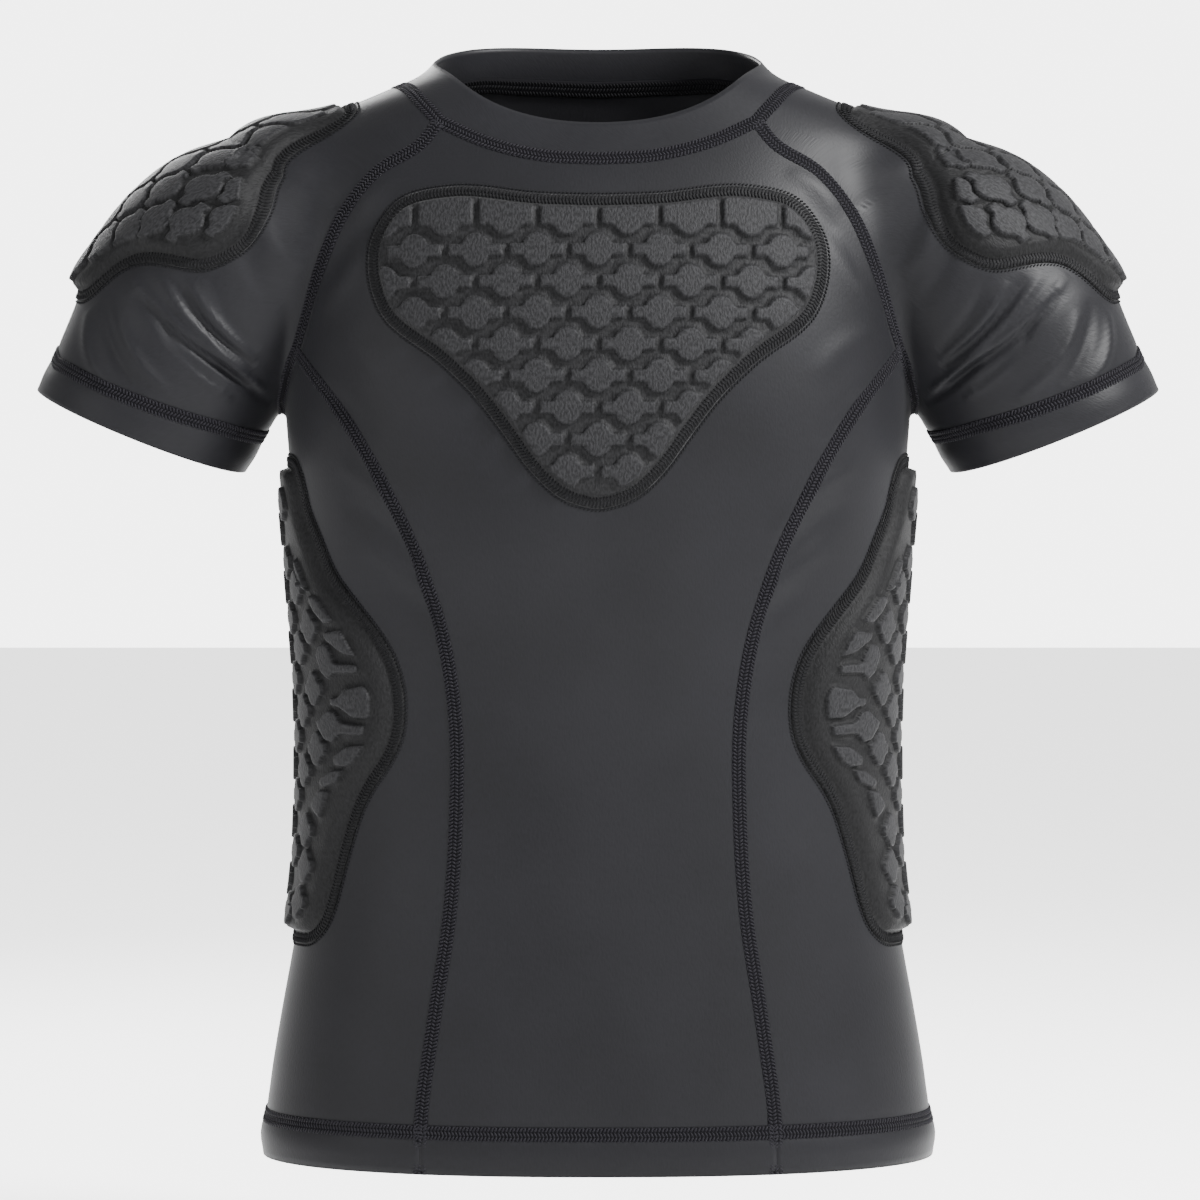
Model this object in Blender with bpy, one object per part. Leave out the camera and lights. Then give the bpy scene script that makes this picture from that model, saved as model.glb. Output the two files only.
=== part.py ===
"""Padded compression shirt: a short-sleeved raglan shirt with a chest, two rib and two shoulder pads.

The shirt hangs as it is worn, filled out and empty. Units are metres, +Z is up and the front faces -Y.
The origin is the middle of the neck, level with the shoulders that carry the shirt.
Every piece lies on one smooth form, so panels meet along their seams and pads lie on the cloth.
"""

import math

import bmesh
import bpy
import numpy as np
from mathutils import Vector
from mathutils.bvhtree import BVHTree
from mathutils.geometry import delaunay_2d_cdt

# Cloth
CLOTH_THICKNESS = 0.0015
COLLAR_THICKNESS = 0.0020
COLLAR_HEIGHT = 0.0200
SEAM_GAP = 0.0003
HEM_HEIGHT = -0.5250

# The form under the cloth
TORSO_SQUARENESS = 2.30
BLEND_UNDER_ARM = 0.007
BLEND_ON_SHOULDER = 0.022
BLEND_HEIGHTS = (-0.1250, -0.0600)
PROBE = 0.0004
FORM_FAR = 0.200

# height, half width, depth in front, depth behind
TORSO = (
    (-0.5450, 0.1665, 0.0985, 0.1005),
    (-0.5250, 0.1668, 0.0985, 0.1005),
    (-0.5120, 0.1675, 0.0983, 0.1003),
    (-0.5030, 0.1655, 0.0978, 0.0998),
    (-0.4780, 0.1618, 0.0965, 0.0985),
    (-0.4520, 0.1574, 0.0950, 0.0962),
    (-0.4270, 0.1528, 0.0935, 0.0930),
    (-0.3950, 0.1474, 0.0915, 0.0885),
    (-0.3280, 0.1442, 0.0890, 0.0815),
    (-0.2900, 0.1450, 0.0905, 0.0830),
    (-0.2520, 0.1478, 0.0945, 0.0870),
    (-0.2150, 0.1508, 0.0985, 0.0920),
    (-0.1850, 0.1535, 0.1005, 0.0960),
    (-0.1500, 0.1560, 0.1000, 0.0985),
    (-0.1100, 0.1560, 0.0955, 0.0980),
    (-0.0700, 0.1540, 0.0855, 0.0930),
    (-0.0370, 0.1500, 0.0725, 0.0830),
    (-0.0180, 0.1455, 0.0630, 0.0745),
    (-0.0080, 0.1325, 0.0590, 0.0695),
    (0.0020, 0.1095, 0.0560, 0.0640),
    (0.0100, 0.0910, 0.0540, 0.0600),
    (0.0180, 0.0820, 0.0525, 0.0560),
    (0.0300, 0.0780, 0.0510, 0.0520),
    (0.0500, 0.0765, 0.0500, 0.0510),
)

# Where each arm leaves the shoulder and where its cuff is, in the front view
ARM_ROOT = (0.1500, -0.0450)
ARM_TIP = (0.2280, -0.1650)
ARM_CAP = 0.0280
ARM_LENGTH = math.dist(ARM_ROOT, ARM_TIP)
ARM_ALONG = tuple((tip - root) / ARM_LENGTH for root, tip in zip(ARM_ROOT, ARM_TIP))
ARM_ACROSS = (-ARM_ALONG[1], ARM_ALONG[0])
UP = np.array([0.0, 0.0, 1.0])
ARM_AXIS = np.array([ARM_ALONG[0], 0.0, ARM_ALONG[1]])
ARM_OUTWARD = np.array([ARM_ACROSS[0], 0.0, ARM_ACROSS[1]])
ARM_START = np.array([ARM_ROOT[0], 0.0, ARM_ROOT[1]])
CUFF_SLANT = 0.190
CUFF_DIP_IN_FRONT = 0.120

# distance along the arm, middle across, half width across, half depth
ARM = (
    (0.0000, 0.0000, 0.0360, 0.0450),
    (0.0240, 0.0008, 0.0523, 0.0510),
    (0.0450, 0.0018, 0.0588, 0.0530),
    (0.0760, 0.0038, 0.0603, 0.0535),
    (0.0960, 0.0058, 0.0585, 0.0530),
    (0.1110, 0.0039, 0.0572, 0.0520),
    (0.1500, -0.0003, 0.0552, 0.0490),
    (0.1800, -0.0020, 0.0545, 0.0480),
)

# Seams in the front view. Each row is a distance from the middle and a height.
PRINCESS_SEAM = (
    (0.0855, HEM_HEIGHT),
    (0.0850, -0.5030),
    (0.0785, -0.4510),
    (0.0710, -0.4000),
    (0.0682, -0.3550),
    (0.0686, -0.3060),
    (0.0725, -0.2770),
    (0.0900, -0.2220),
    (0.1160, -0.1725),
    (0.1484, -0.1280),
)
RAGLAN_FRONT = (
    (0.1484, -0.1280),
    (0.1440, -0.1150),
    (0.1343, -0.0850),
    (0.1234, -0.0612),
    (0.1080, -0.0423),
    (0.0842, -0.0266),
    (0.0774, -0.0170),
)
RAGLAN_BACK = (
    (0.1484, -0.1280),
    (0.1400, -0.0950),
    (0.1250, -0.0600),
    (0.1020, -0.0240),
    (0.0800, 0.0100),
)
NECK_FRONT = ((0.0000, -0.0370), (0.0300, -0.0348), (0.0550, -0.0278), (0.0774, -0.0170))
NECK_BACK = ((0.0000, 0.0130), (0.0400, 0.0138), (0.0620, 0.0135), (0.0800, 0.0100))
NECK_SIDE = (0.0990, 0.0000, 0.0070)
ARMPIT = (0.1585, 0.0000, -0.1540)

# Facets along each seam
PRINCESS_STEPS = 12
RAGLAN_STEPS = 7
UNDERARM_STEPS = 8
NECK_STEPS = 10
NECK_SIDE_STEPS = 5
SLEEVE_STEPS = 9
SLEEVE_EASING = 60
COLLAR_STEPS = 2

# How far round the cuff, in degrees from its inner side, each seam of the sleeve reaches
CUFF_ANGLE_UNDERARM = 48.0
CUFF_ANGLE_RAGLAN = 168.0

# Pads: heights over the cloth, and how far the sewn edge and its slope reach in
PAD_LIFT = 0.0009
PAD_REACH = 0.0100
PAD_EDGE = 0.0020
PAD_OUTLINE_STEP = 0.0100
CELL_RISE = 0.0021
CELL_SLOPE = 0.0012
CELL_SMALLEST = 0.35
CHEST_GROUND = 0.0028
THICK_GROUND = 0.0056
# share of the way in, share of the way up
CHEST_SLOPE = ((0.75, 0.05), (1.0, 1.0))
THICK_SLOPE = ((0.42, 0.14), (1.0, 1.0))
# how far the slope reaches in at an end of the pad, and how much more along its sides
CHEST_MARGIN = (0.0068, 0.0)
RIB_MARGIN = (0.0040, 0.0110)
SHOULDER_MARGIN = (0.0040, 0.0080)
# distance along the arm in millimetres, and the pad's fullness there
SHOULDER_FULLNESS = ((-50.0, 0.42), (-30.0, 0.60), (0.0, 0.90), (15.0, 1.00), (110.0, 1.00))

# Half outlines of the pads in millimetres, from the top of each pad's middle line to its bottom.
# Chest: distance from the middle and height, in the front view.
CHEST_OUTLINE = (
    (0.0, -55.5), (28.6, -54.5), (72.5, -50.5), (97.0, -56.5), (109.5, -74.5), (111.0, -91.0),
    (105.0, -111.5), (75.0, -137.0), (57.5, -154.5), (43.5, -173.0), (31.5, -189.5), (17.5, -202.0),
    (0.0, -207.5),
)
# Ribs: distance round from the side line, and height.
RIB_OUTLINE = (
    (0.0, -179.0), (25.0, -179.0), (36.0, -181.5), (42.0, -190.0), (46.0, -205.0), (54.0, -219.0),
    (63.0, -237.0), (74.0, -250.0), (84.0, -262.0), (92.0, -275.0), (96.0, -290.0), (96.5, -303.0),
    (94.0, -317.0), (87.0, -330.0), (78.0, -341.0), (71.0, -353.0), (66.0, -367.0), (62.0, -382.0),
    (59.0, -398.0), (55.0, -410.0), (46.0, -417.5), (30.0, -419.0), (0.0, -419.0),
)
# Shoulders: distance round from the top line, and distance along the arm.
SHOULDER_OUTLINE = (
    (0.0, -50.0), (25.0, -50.0), (37.0, -46.0), (41.0, -36.0), (45.0, -27.0), (52.0, -14.0),
    (58.0, -2.0), (66.0, 7.0), (78.0, 17.0), (86.0, 27.0), (90.0, 38.0), (88.0, 50.0),
    (82.0, 60.0), (70.0, 65.5), (56.0, 71.0), (46.0, 78.0), (41.0, 87.0), (36.0, 97.0),
    (27.0, 104.5), (12.0, 106.0), (0.0, 106.0),
)

# Raised cells in millimetres: outlines of whole ones, and the places of their middles
CHEST_CELL = (
    (12.5, -3.2), (12.5, 3.2), (7.5, 3.4), (4.0, 7.8), (-4.0, 7.8), (-7.5, 3.4),
    (-12.5, 3.2), (-12.5, -3.2), (-7.5, -3.4), (-4.0, -7.8), (4.0, -7.8), (7.5, -3.4),
)
CHEST_ROWS = 9
CHEST_FIRST_ROW = -68.4
CHEST_ROW_PITCH = 15.05
CHEST_CELL_PITCH = 29.0
RIB_CELL = (
    (7.2, -2.6), (7.2, 2.6), (3.6, 9.0), (-3.6, 9.0),
    (-7.2, 2.6), (-7.2, -2.6), (-3.6, -9.0), (3.6, -9.0),
)
RIB_CELLS = (
    (45.0, -262.5), (44.5, -293.0), (45.5, -322.5),
    (35.0, -243.5), (33.0, -273.0), (33.0, -304.0), (33.0, -333.5),
    (36.0, -363.0), (38.0, -381.0), (35.0, -399.0),
    (23.5, -202.0), (23.5, -231.0), (22.5, -258.0), (22.0, -288.0), (22.0, -317.0), (22.0, -346.0),
    (22.0, -374.0), (21.0, -403.0),
    (8.0, -214.0), (8.0, -243.0), (8.0, -273.0), (8.0, -302.0), (8.0, -331.0), (8.0, -360.0), (8.0, -389.0),
)
RIB_CUT_CELLS = (
    ((36, -228), (37, -235), (41, -243), (48, -246), (40, -232)),
    ((47, -247), (51, -255), (58, -261), (64, -260), (54, -248)),
    ((56, -265), (58, -269), (67, -275), (75, -277), (68, -264)),
    ((49, -276), (52, -285), (57, -288.5), (61, -285), (75, -285), (75, -281), (62, -280),
     (58, -270.5), (52, -271)),
    ((57, -297), (57, -301), (63, -302), (71, -307), (80, -307), (81, -296), (78, -291),
     (66, -293), (62, -297)),
    ((46, -309), (47, -312), (52, -318), (58, -319.5), (62, -315), (76, -315.5), (77, -310.5), (63, -309),
     (60, -304), (55, -303), (51, -306)),
    ((58, -326), (59, -330.5), (66, -331), (75, -326), (77, -320), (66, -321)),
    ((48, -338), (50, -342), (60, -339), (64, -332), (56, -333)),
    ((41, -350), (44, -354), (49, -357), (54, -343), (47, -343)),
)
SHOULDER_CELL = (
    (2.6, -11.0), (6.8, -4.5), (6.8, 4.5), (2.6, 11.0),
    (-2.6, 11.0), (-6.8, 4.5), (-6.8, -4.5), (-2.6, -11.0),
)
SHOULDER_CELLS = (
    (0.0, -25.0), (0.0, 0.0), (0.0, 25.0), (0.0, 50.0), (0.0, 75.0),
    (12.8, -37.0), (12.8, -12.5), (12.8, 12.5), (12.8, 37.5), (12.8, 62.5), (12.8, 88.0),
    (25.5, -24.5), (25.5, 0.5), (25.0, 25.5), (24.5, 50.5), (25.5, 75.0),
    (38.0, -12.0), (38.0, 13.0), (36.5, 38.0), (37.0, 63.5),
    (46.5, 2.0), (52.0, 28.0), (47.5, 52.5),
    (64.0, 17.0), (61.0, 45.5), (73.5, 33.5),
)

# Materials: colour, roughness
CLOTH_LOOK = ((0.034, 0.034, 0.038), 0.50)
COLLAR_LOOK = ((0.040, 0.040, 0.045), 0.48)
PAD_LOOK = ((0.028, 0.028, 0.030), 0.62)


def table_columns(table):
    return [np.array(column, float) for column in zip(*table)]


def smooth_read(keys, values, at):
    """Values at any key, on a smooth curve through the table's rows."""
    slopes = np.gradient(values, keys)
    at = np.clip(at, keys[0], keys[-1])
    row = np.clip(np.searchsorted(keys, at) - 1, 0, len(keys) - 2)
    step = keys[row + 1] - keys[row]
    t = (at - keys[row]) / step
    start = values[row] * (2 * t**3 - 3 * t**2 + 1) + slopes[row] * step * (t**3 - 2 * t**2 + t)
    end = values[row + 1] * (3 * t**2 - 2 * t**3) + slopes[row + 1] * step * (t**3 - t**2)
    return start + end


TORSO_HEIGHTS, TORSO_WIDTHS, TORSO_FRONTS, TORSO_BACKS = table_columns(TORSO)
ARM_STATIONS, ARM_MIDDLES, ARM_WIDTHS, ARM_DEPTHS = table_columns(ARM)


def torso_shape(p):
    """Below zero inside the torso: flattened rings of the table's widths and depths."""
    height = p[:, 2]
    width = smooth_read(TORSO_HEIGHTS, TORSO_WIDTHS, height)
    front = smooth_read(TORSO_HEIGHTS, TORSO_FRONTS, height)
    back = smooth_read(TORSO_HEIGHTS, TORSO_BACKS, height)
    depth = np.where(p[:, 1] < 0, front, back)
    across = np.abs(p[:, 0]) / width
    through = np.abs(p[:, 1]) / depth
    return (across**TORSO_SQUARENESS + through**TORSO_SQUARENESS) ** (1 / TORSO_SQUARENESS) - 1


def arm_place(p):
    """Distance along the arm from the shoulder, and distance across it, of points on either side."""
    x = np.abs(p[:, 0]) - ARM_ROOT[0]
    z = p[:, 2] - ARM_ROOT[1]
    return x * ARM_ALONG[0] + z * ARM_ALONG[1], x * ARM_ACROSS[0] + z * ARM_ACROSS[1]


def arm_shape(p):
    """Below zero inside an arm: oval sections along its line, with a rounded end at the shoulder."""
    along, across = arm_place(p)
    middle = smooth_read(ARM_STATIONS, ARM_MIDDLES, along)
    width = smooth_read(ARM_STATIONS, ARM_WIDTHS, along)
    depth = smooth_read(ARM_STATIONS, ARM_DEPTHS, along)
    cap = np.minimum(along, 0) / ARM_CAP
    return np.sqrt(((across - middle) / width) ** 2 + (p[:, 1] / depth) ** 2 + cap**2) - 1


def gradient(shape, p):
    here = shape(p)
    steps = np.eye(3) * PROBE
    return np.stack([(shape(p + step) - here) / PROBE for step in steps], axis=1)


def as_distance(shape, p):
    return shape(p) / np.maximum(np.linalg.norm(gradient(shape, p), axis=1), 1.0)


def form(p):
    """Distance outside the worn shirt's outer face: torso and arms, blended at the shoulders."""
    torso = as_distance(torso_shape, p)
    arm = as_distance(arm_shape, p)
    low, high = BLEND_HEIGHTS
    lift = np.clip((p[:, 2] - low) / (high - low), 0, 1)
    blend = BLEND_UNDER_ARM + (BLEND_ON_SHOULDER - BLEND_UNDER_ARM) * lift**2 * (3 - 2 * lift)
    share = np.clip(0.5 + 0.5 * (arm - torso) / blend, 0, 1)
    return arm + (torso - arm) * share - blend * share * (1 - share)


def unit(vectors):
    return vectors / np.linalg.norm(vectors, axis=-1, keepdims=True)


def on_form(points, axis=None, rounds=14, longest=0.006):
    """Moves points to the form's surface. With an axis they keep their place along it."""
    shape = np.shape(points)
    p = np.array(points, float).reshape(-1, 3)
    for _ in range(rounds):
        slope = gradient(form, p)
        if axis is not None:
            slope -= (slope @ axis)[:, None] * axis
        move = slope * (form(p) / np.maximum((slope**2).sum(1), 0.05))[:, None]
        size = np.linalg.norm(move, axis=1, keepdims=True)
        p -= move * np.minimum(1, longest / np.maximum(size, 1e-12))
    return p.reshape(shape)


def normals_on_form(points):
    return unit(gradient(form, points.reshape(-1, 3))).reshape(points.shape)


def come_in(points, outward):
    """Points of the form met by coming in from outside, against the outward direction."""
    shape = np.shape(points)
    p = np.reshape(points, (-1, 3)) + outward * FORM_FAR
    for _ in range(60):
        p -= outward * form(p)[:, None] * 0.8
    return p.reshape(shape)


def seen_from(face, x, z):
    """Points of the form at x and z, found from in front (face -1) or behind (face +1)."""
    return come_in(np.stack([x, np.zeros(np.shape(x)), z], axis=-1), np.array([0.0, face, 0.0]))


def smooth_path(rows, steps):
    """Evenly spaced points on a smooth curve through the rows."""
    rows = np.array(rows, float)
    lengths = np.concatenate([[0], np.cumsum(np.linalg.norm(np.diff(rows, axis=0), axis=1))])
    fine = np.linspace(0, lengths[-1], 400)
    curve = np.stack([smooth_read(lengths, column, fine) for column in rows.T], axis=1)
    gone = np.concatenate([[0], np.cumsum(np.linalg.norm(np.diff(curve, axis=0), axis=1))])
    even = np.linspace(0, gone[-1], steps + 1)
    return np.stack([np.interp(even, gone, column) for column in curve.T], axis=1)


def walk(points, directions, distance, steps=6):
    """Points reached by walking over the form's surface, each in its own direction."""
    p = np.array(points, float)
    d = np.array(directions, float)
    for _ in range(steps):
        n = normals_on_form(p)
        d = unit(d - n * (d * n).sum(-1, keepdims=True))
        p = on_form(p + d * (np.asarray(distance)[..., None] / steps), rounds=4)
    return p


def go_round(start, axis, reach, steps=14):
    """Points reached by going round the form in planes square to an axis.

    A reach below zero goes round to the front.
    """
    p = np.array(start, float)
    d = np.zeros(p.shape)
    d[:, 1] = np.where(reach < 0, -1, 1)
    for _ in range(steps):
        slope = gradient(form, p)
        slope -= (slope @ axis)[:, None] * axis
        n = unit(slope)
        d = unit(d - n * (d * n).sum(-1, keepdims=True))
        p = on_form(p + d * (np.abs(reach) / steps)[:, None], axis=axis, rounds=3)
    return p


def mirrored(points):
    return points * np.array([-1.0, 1.0, 1.0])


# The seams of the right half, each as a row of points on the form


def princess_seam(face):
    x, z = smooth_path(PRINCESS_SEAM, PRINCESS_STEPS).T
    return seen_from(face, x, z)


def raglan_seam(face):
    rows = RAGLAN_FRONT if face < 0 else RAGLAN_BACK
    x, z = smooth_path(rows, RAGLAN_STEPS).T
    return seen_from(face, x, z)


def underarm_seam():
    """From the front of the armhole under the arm to its back."""
    front = princess_seam(-1)[-1]
    back = princess_seam(1)[-1]
    half_way = [(end + np.array(ARMPIT)) / 2 for end in (front, back)]
    half_way = [point - np.array([0, 0, 0.006]) for point in half_way]
    path = smooth_path([front, half_way[0], ARMPIT, half_way[1], back], UNDERARM_STEPS)
    inner = on_form(path[1:-1])
    return np.concatenate([[front], inner, [back]])


def neck_half(face):
    """The neck seam from the left raglan seam to the right one, in front or behind."""
    rows = NECK_FRONT if face < 0 else NECK_BACK
    xs, zs = table_columns(rows)
    x = np.linspace(-xs[-1], xs[-1], NECK_STEPS + 1)
    return seen_from(face, x, smooth_read(xs, zs, np.abs(x)))


def neck_side():
    """The neck seam over the right shoulder, from the front raglan seam to the back one."""
    front = raglan_seam(-1)[-1]
    back = raglan_seam(1)[-1]
    path = smooth_path([front, NECK_SIDE, back], NECK_SIDE_STEPS)
    return np.concatenate([[front], on_form(path[1:-1]), [back]])


# Panels, each as a grid of points on the form


def body_panel(face):
    """Front or back: rows from the hem to the neck, columns from the left seam to the right one."""
    seam = np.concatenate([princess_seam(face), raglan_seam(face)[1:]])
    neck = neck_half(face)
    across = np.linspace(-1, 1, NECK_STEPS + 1)
    rows = len(seam) - 1
    grid_x = seam[:, 0:1] * across
    dip = neck[:, 2] - neck[-1, 2]
    share = np.clip((np.arange(rows + 1) - PRINCESS_STEPS + 4) / (RAGLAN_STEPS + 4), 0, 1) ** 1.5
    grid_z = seam[:, 2:3] + dip * share[:, None]
    grid = seen_from(face, grid_x, grid_z)
    grid[-1] = neck
    grid[:, -1] = seam
    grid[:, 0] = mirrored(seam)
    return grid


def side_panel():
    """From the front princess seam round the side to the back one, and from the hem to the armhole."""
    front, back, top = princess_seam(-1), princess_seam(1), underarm_seam()
    turn = np.linspace(0, 1, UNDERARM_STEPS + 1)
    dip = top[:, 2] - top[0, 2]
    share = (np.arange(PRINCESS_STEPS + 1) / PRINCESS_STEPS) ** 4
    angle_front = np.arctan2(front[:, 1], front[:, 0])[:, None]
    angle_back = np.arctan2(back[:, 1], back[:, 0])[:, None]
    angle = angle_front + (angle_back - angle_front) * turn
    z = front[:, 2:3] + dip * share[:, None]
    reach = smooth_read(TORSO_HEIGHTS, TORSO_WIDTHS, z)
    depth = np.where(
        angle < 0,
        smooth_read(TORSO_HEIGHTS, TORSO_FRONTS, z),
        smooth_read(TORSO_HEIGHTS, TORSO_BACKS, z),
    )
    radius = 1 / np.hypot(np.cos(angle) / reach, np.sin(angle) / depth)
    grid = np.stack([radius * np.cos(angle), radius * np.sin(angle), z], axis=-1)
    grid = on_form(grid, axis=UP)
    grid[-1] = top
    grid[:, 0] = front
    grid[:, -1] = back
    return grid


def cuff_ring(angles):
    """Points of the right cuff's edge, at angles from its inner side, the front ones negative."""
    across = -np.cos(angles) * ARM_WIDTHS[-2]
    y = np.sin(angles) * ARM_DEPTHS[-2]
    along = ARM_LENGTH + CUFF_SLANT * across - CUFF_DIP_IN_FRONT * y
    x = ARM_ROOT[0] + along * ARM_ALONG[0] + across * ARM_ACROSS[0]
    z = ARM_ROOT[1] + along * ARM_ALONG[1] + across * ARM_ACROSS[1]
    return on_form(np.stack([x, y, z], axis=-1))


def sleeve_panel():
    """From the cuff to the armhole and neck, as closed rings that start at the front of the neck."""
    parts = [
        (raglan_seam(-1)[::-1], -CUFF_ANGLE_RAGLAN, -CUFF_ANGLE_UNDERARM),
        (underarm_seam(), -CUFF_ANGLE_UNDERARM, CUFF_ANGLE_UNDERARM),
        (raglan_seam(1), CUFF_ANGLE_UNDERARM, CUFF_ANGLE_RAGLAN),
        (neck_side()[::-1], CUFF_ANGLE_RAGLAN, 360 - CUFF_ANGLE_RAGLAN),
    ]
    top = np.concatenate([seam[:-1] for seam, _, _ in parts])
    angles = np.concatenate([np.linspace(a, b, len(seam))[:-1] for seam, a, b in parts])
    cuff = cuff_ring(np.radians(angles))
    share = np.linspace(0, 1, SLEEVE_STEPS + 1)[:, None, None]
    grid = cuff + (top - cuff) * share
    for _ in range(SLEEVE_EASING):
        round_it = np.roll(grid, 1, axis=1) + np.roll(grid, -1, axis=1)
        grid[1:-1] = on_form((grid[:-2] + grid[2:] + round_it[1:-1]) / 4, rounds=2)
    return grid


def collar_panel():
    """A band that stands on the whole neck seam, as closed rings from the seam up."""
    side = neck_side()
    front, back = neck_half(-1), neck_half(1)
    seam = np.concatenate([front[:-1], side[:-1], back[::-1][:-1], mirrored(side[::-1])[:-1]])
    tangent = np.roll(seam, -1, axis=0) - np.roll(seam, 1, axis=0)
    up = unit(np.cross(normals_on_form(seam), tangent))
    heights = np.linspace(SEAM_GAP, COLLAR_HEIGHT, COLLAR_STEPS + 1)
    return np.array([walk(seam, up, np.full(len(seam), height)) for height in heights])


# Solids


def material(name, look):
    colour, roughness = look
    made = bpy.data.materials.new(name)
    made.use_nodes = True
    shader = made.node_tree.nodes["Principled BSDF"]
    shader.inputs["Base Color"].default_value = (*colour, 1)
    shader.inputs["Roughness"].default_value = roughness
    return made


def add_object(name, bm, look):
    bmesh.ops.recalc_face_normals(bm, faces=bm.faces)
    mesh = bpy.data.meshes.new(name)
    bm.to_mesh(mesh)
    bm.free()
    mesh.shade_smooth()
    mesh.set_sharp_from_angle(angle=math.radians(35))
    mesh.materials.append(look)
    made = bpy.data.objects.new(name, mesh)
    bpy.context.scene.collection.objects.link(made)
    return made


def off_seam(seam, beside, closed):
    """Half the gap between two pieces, square to a seam and along the form, towards the row beside it."""
    if closed:
        tangent = np.roll(seam, -1, axis=0) - np.roll(seam, 1, axis=0)
    else:
        tangent = np.gradient(seam, axis=0)
    square = unit(np.cross(normals_on_form(seam), tangent))
    return square * np.sign((square * (beside - seam)).sum(1, keepdims=True)) * SEAM_GAP / 2


def draw_in(grid, closed):
    """Moves a panel's edges in from its seams, by half the gap between two pieces."""
    drawn = grid.copy()
    drawn[-1] += off_seam(grid[-1], grid[-2], closed)
    if not closed:
        drawn[:, 0] += off_seam(grid[:, 0], grid[:, 1], False)
        drawn[:, -1] += off_seam(grid[:, -1], grid[:, -2], False)
    return drawn


def folds(grid):
    """For each four-cornered facet, whether it folds from its first corner: the way nearer the form."""
    beside = np.roll(grid, -1, axis=1)
    middles = np.stack([grid[:-1] + beside[1:], beside[:-1] + grid[1:]]) / 2
    away = np.abs(form(middles.reshape(-1, 3))).reshape(middles.shape[:3])
    return away[0] <= away[1]


def panel_facets(grid, closed):
    """Triangles of a panel's grid, as numbers of its points counted row by row."""
    rows, columns = grid.shape[:2]
    from_first = folds(grid)
    triangles = []
    for r in range(rows - 1):
        for c in range(columns if closed else columns - 1):
            d = (c + 1) % columns
            a, b, e, f = r * columns + c, r * columns + d, (r + 1) * columns + d, (r + 1) * columns + c
            triangles += [(a, b, e), (a, e, f)] if from_first[r, c] else [(b, e, f), (b, f, a)]
    return triangles


def cloth_wall(name, grid, thickness, look, closed=False, drawn=True):
    """A closed wall: the grid is its outer face, and its inner face lies one thickness inside."""
    rows, columns = grid.shape[:2]
    outside = draw_in(grid, closed) if drawn else grid
    inside = outside - normals_on_form(grid) * thickness
    bm = bmesh.new()
    outer = [[bm.verts.new(point) for point in row] for row in outside]
    inner = [[bm.verts.new(point) for point in row] for row in inside]
    spans = columns if closed else columns - 1
    for wall in (outer, inner):
        points = [point for row in wall for point in row]
        for triangle in panel_facets(grid, closed):
            bm.faces.new([points[i] for i in triangle])
    for r in (0, rows - 1):
        for c in range(spans):
            d = (c + 1) % columns
            bm.faces.new((outer[r][c], outer[r][d], inner[r][d], inner[r][c]))
    for c in () if closed else (0, columns - 1):
        for r in range(rows - 1):
            bm.faces.new((outer[r][c], outer[r + 1][c], inner[r + 1][c], inner[r][c]))
    return add_object(name, bm, look)


# Pads. Each is drawn flat, counterclockwise and in millimetres, and then laid on the form.


def chest_place(flat):
    return seen_from(-1, flat[:, 0] / 1000, flat[:, 1] / 1000)


def rib_place(flat):
    height = flat[:, 1] / 1000
    side = np.stack([smooth_read(TORSO_HEIGHTS, TORSO_WIDTHS, height), 0 * height, height], axis=1)
    return go_round(on_form(side, axis=UP), UP, -flat[:, 0] / 1000)


def shoulder_place(flat):
    along = ARM_START + flat[:, 1:2] / 1000 * ARM_AXIS
    return go_round(come_in(along, ARM_OUTWARD), ARM_AXIS, -flat[:, 0] / 1000)


def chest_chart(p):
    return p[:, [0, 2]] * 1000


def rib_chart(p):
    return p[:, [1, 2]] * 1000


def shoulder_chart(p):
    """Angle round a line inside the shoulder, and distance along the arm."""
    along, across = arm_place(p)
    angle = np.arctan2(p[:, 1], across + 0.050)
    return np.stack([angle * 80, along * 1000], axis=1)


def area(loop):
    following = np.roll(loop, -1, axis=0)
    return (loop[:, 0] * following[:, 1] - loop[:, 1] * following[:, 0]).sum() / 2


def counterclockwise(loop):
    return loop if area(loop) > 0 else loop[::-1]


def inward(loop):
    """Directions into a counterclockwise loop at its points."""
    along = unit(np.roll(loop, -1, axis=0) - np.roll(loop, 1, axis=0))
    return np.stack([-along[:, 1], along[:, 0]], axis=1)


def inset(loop, amount):
    """A loop whose edges lie an amount inside another's."""
    edge = unit(np.roll(loop, -1, axis=0) - loop)
    ahead = np.stack([-edge[:, 1], edge[:, 0]], axis=1)
    behind = np.roll(ahead, 1, axis=0)
    corner = (ahead + behind) / np.maximum(1 + (ahead * behind).sum(1, keepdims=True), 0.5)
    return loop + corner * amount


def full_outline(half):
    """A closed outline from its half, with evenly spaced points."""
    half = np.array(half, float)
    length = np.linalg.norm(np.diff(half, axis=0), axis=1).sum() / 1000
    side = smooth_path(half, round(length / PAD_OUTLINE_STEP))
    other = side[1:-1][::-1] * np.array([-1.0, 1.0])
    return counterclockwise(np.concatenate([side, other]))


def cut_by_line(loop, at, direction):
    """The part of a loop that lies beyond a point in a direction."""
    depth = (loop - at) @ direction
    kept = []
    for i in range(len(loop)):
        j = (i + 1) % len(loop)
        if depth[i] >= 0:
            kept.append(loop[i])
        if depth[i] * depth[j] < 0:
            share = depth[i] / (depth[i] - depth[j])
            kept.append(loop[i] + (loop[j] - loop[i]) * share)
    return np.array(kept).reshape(-1, 2)


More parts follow.
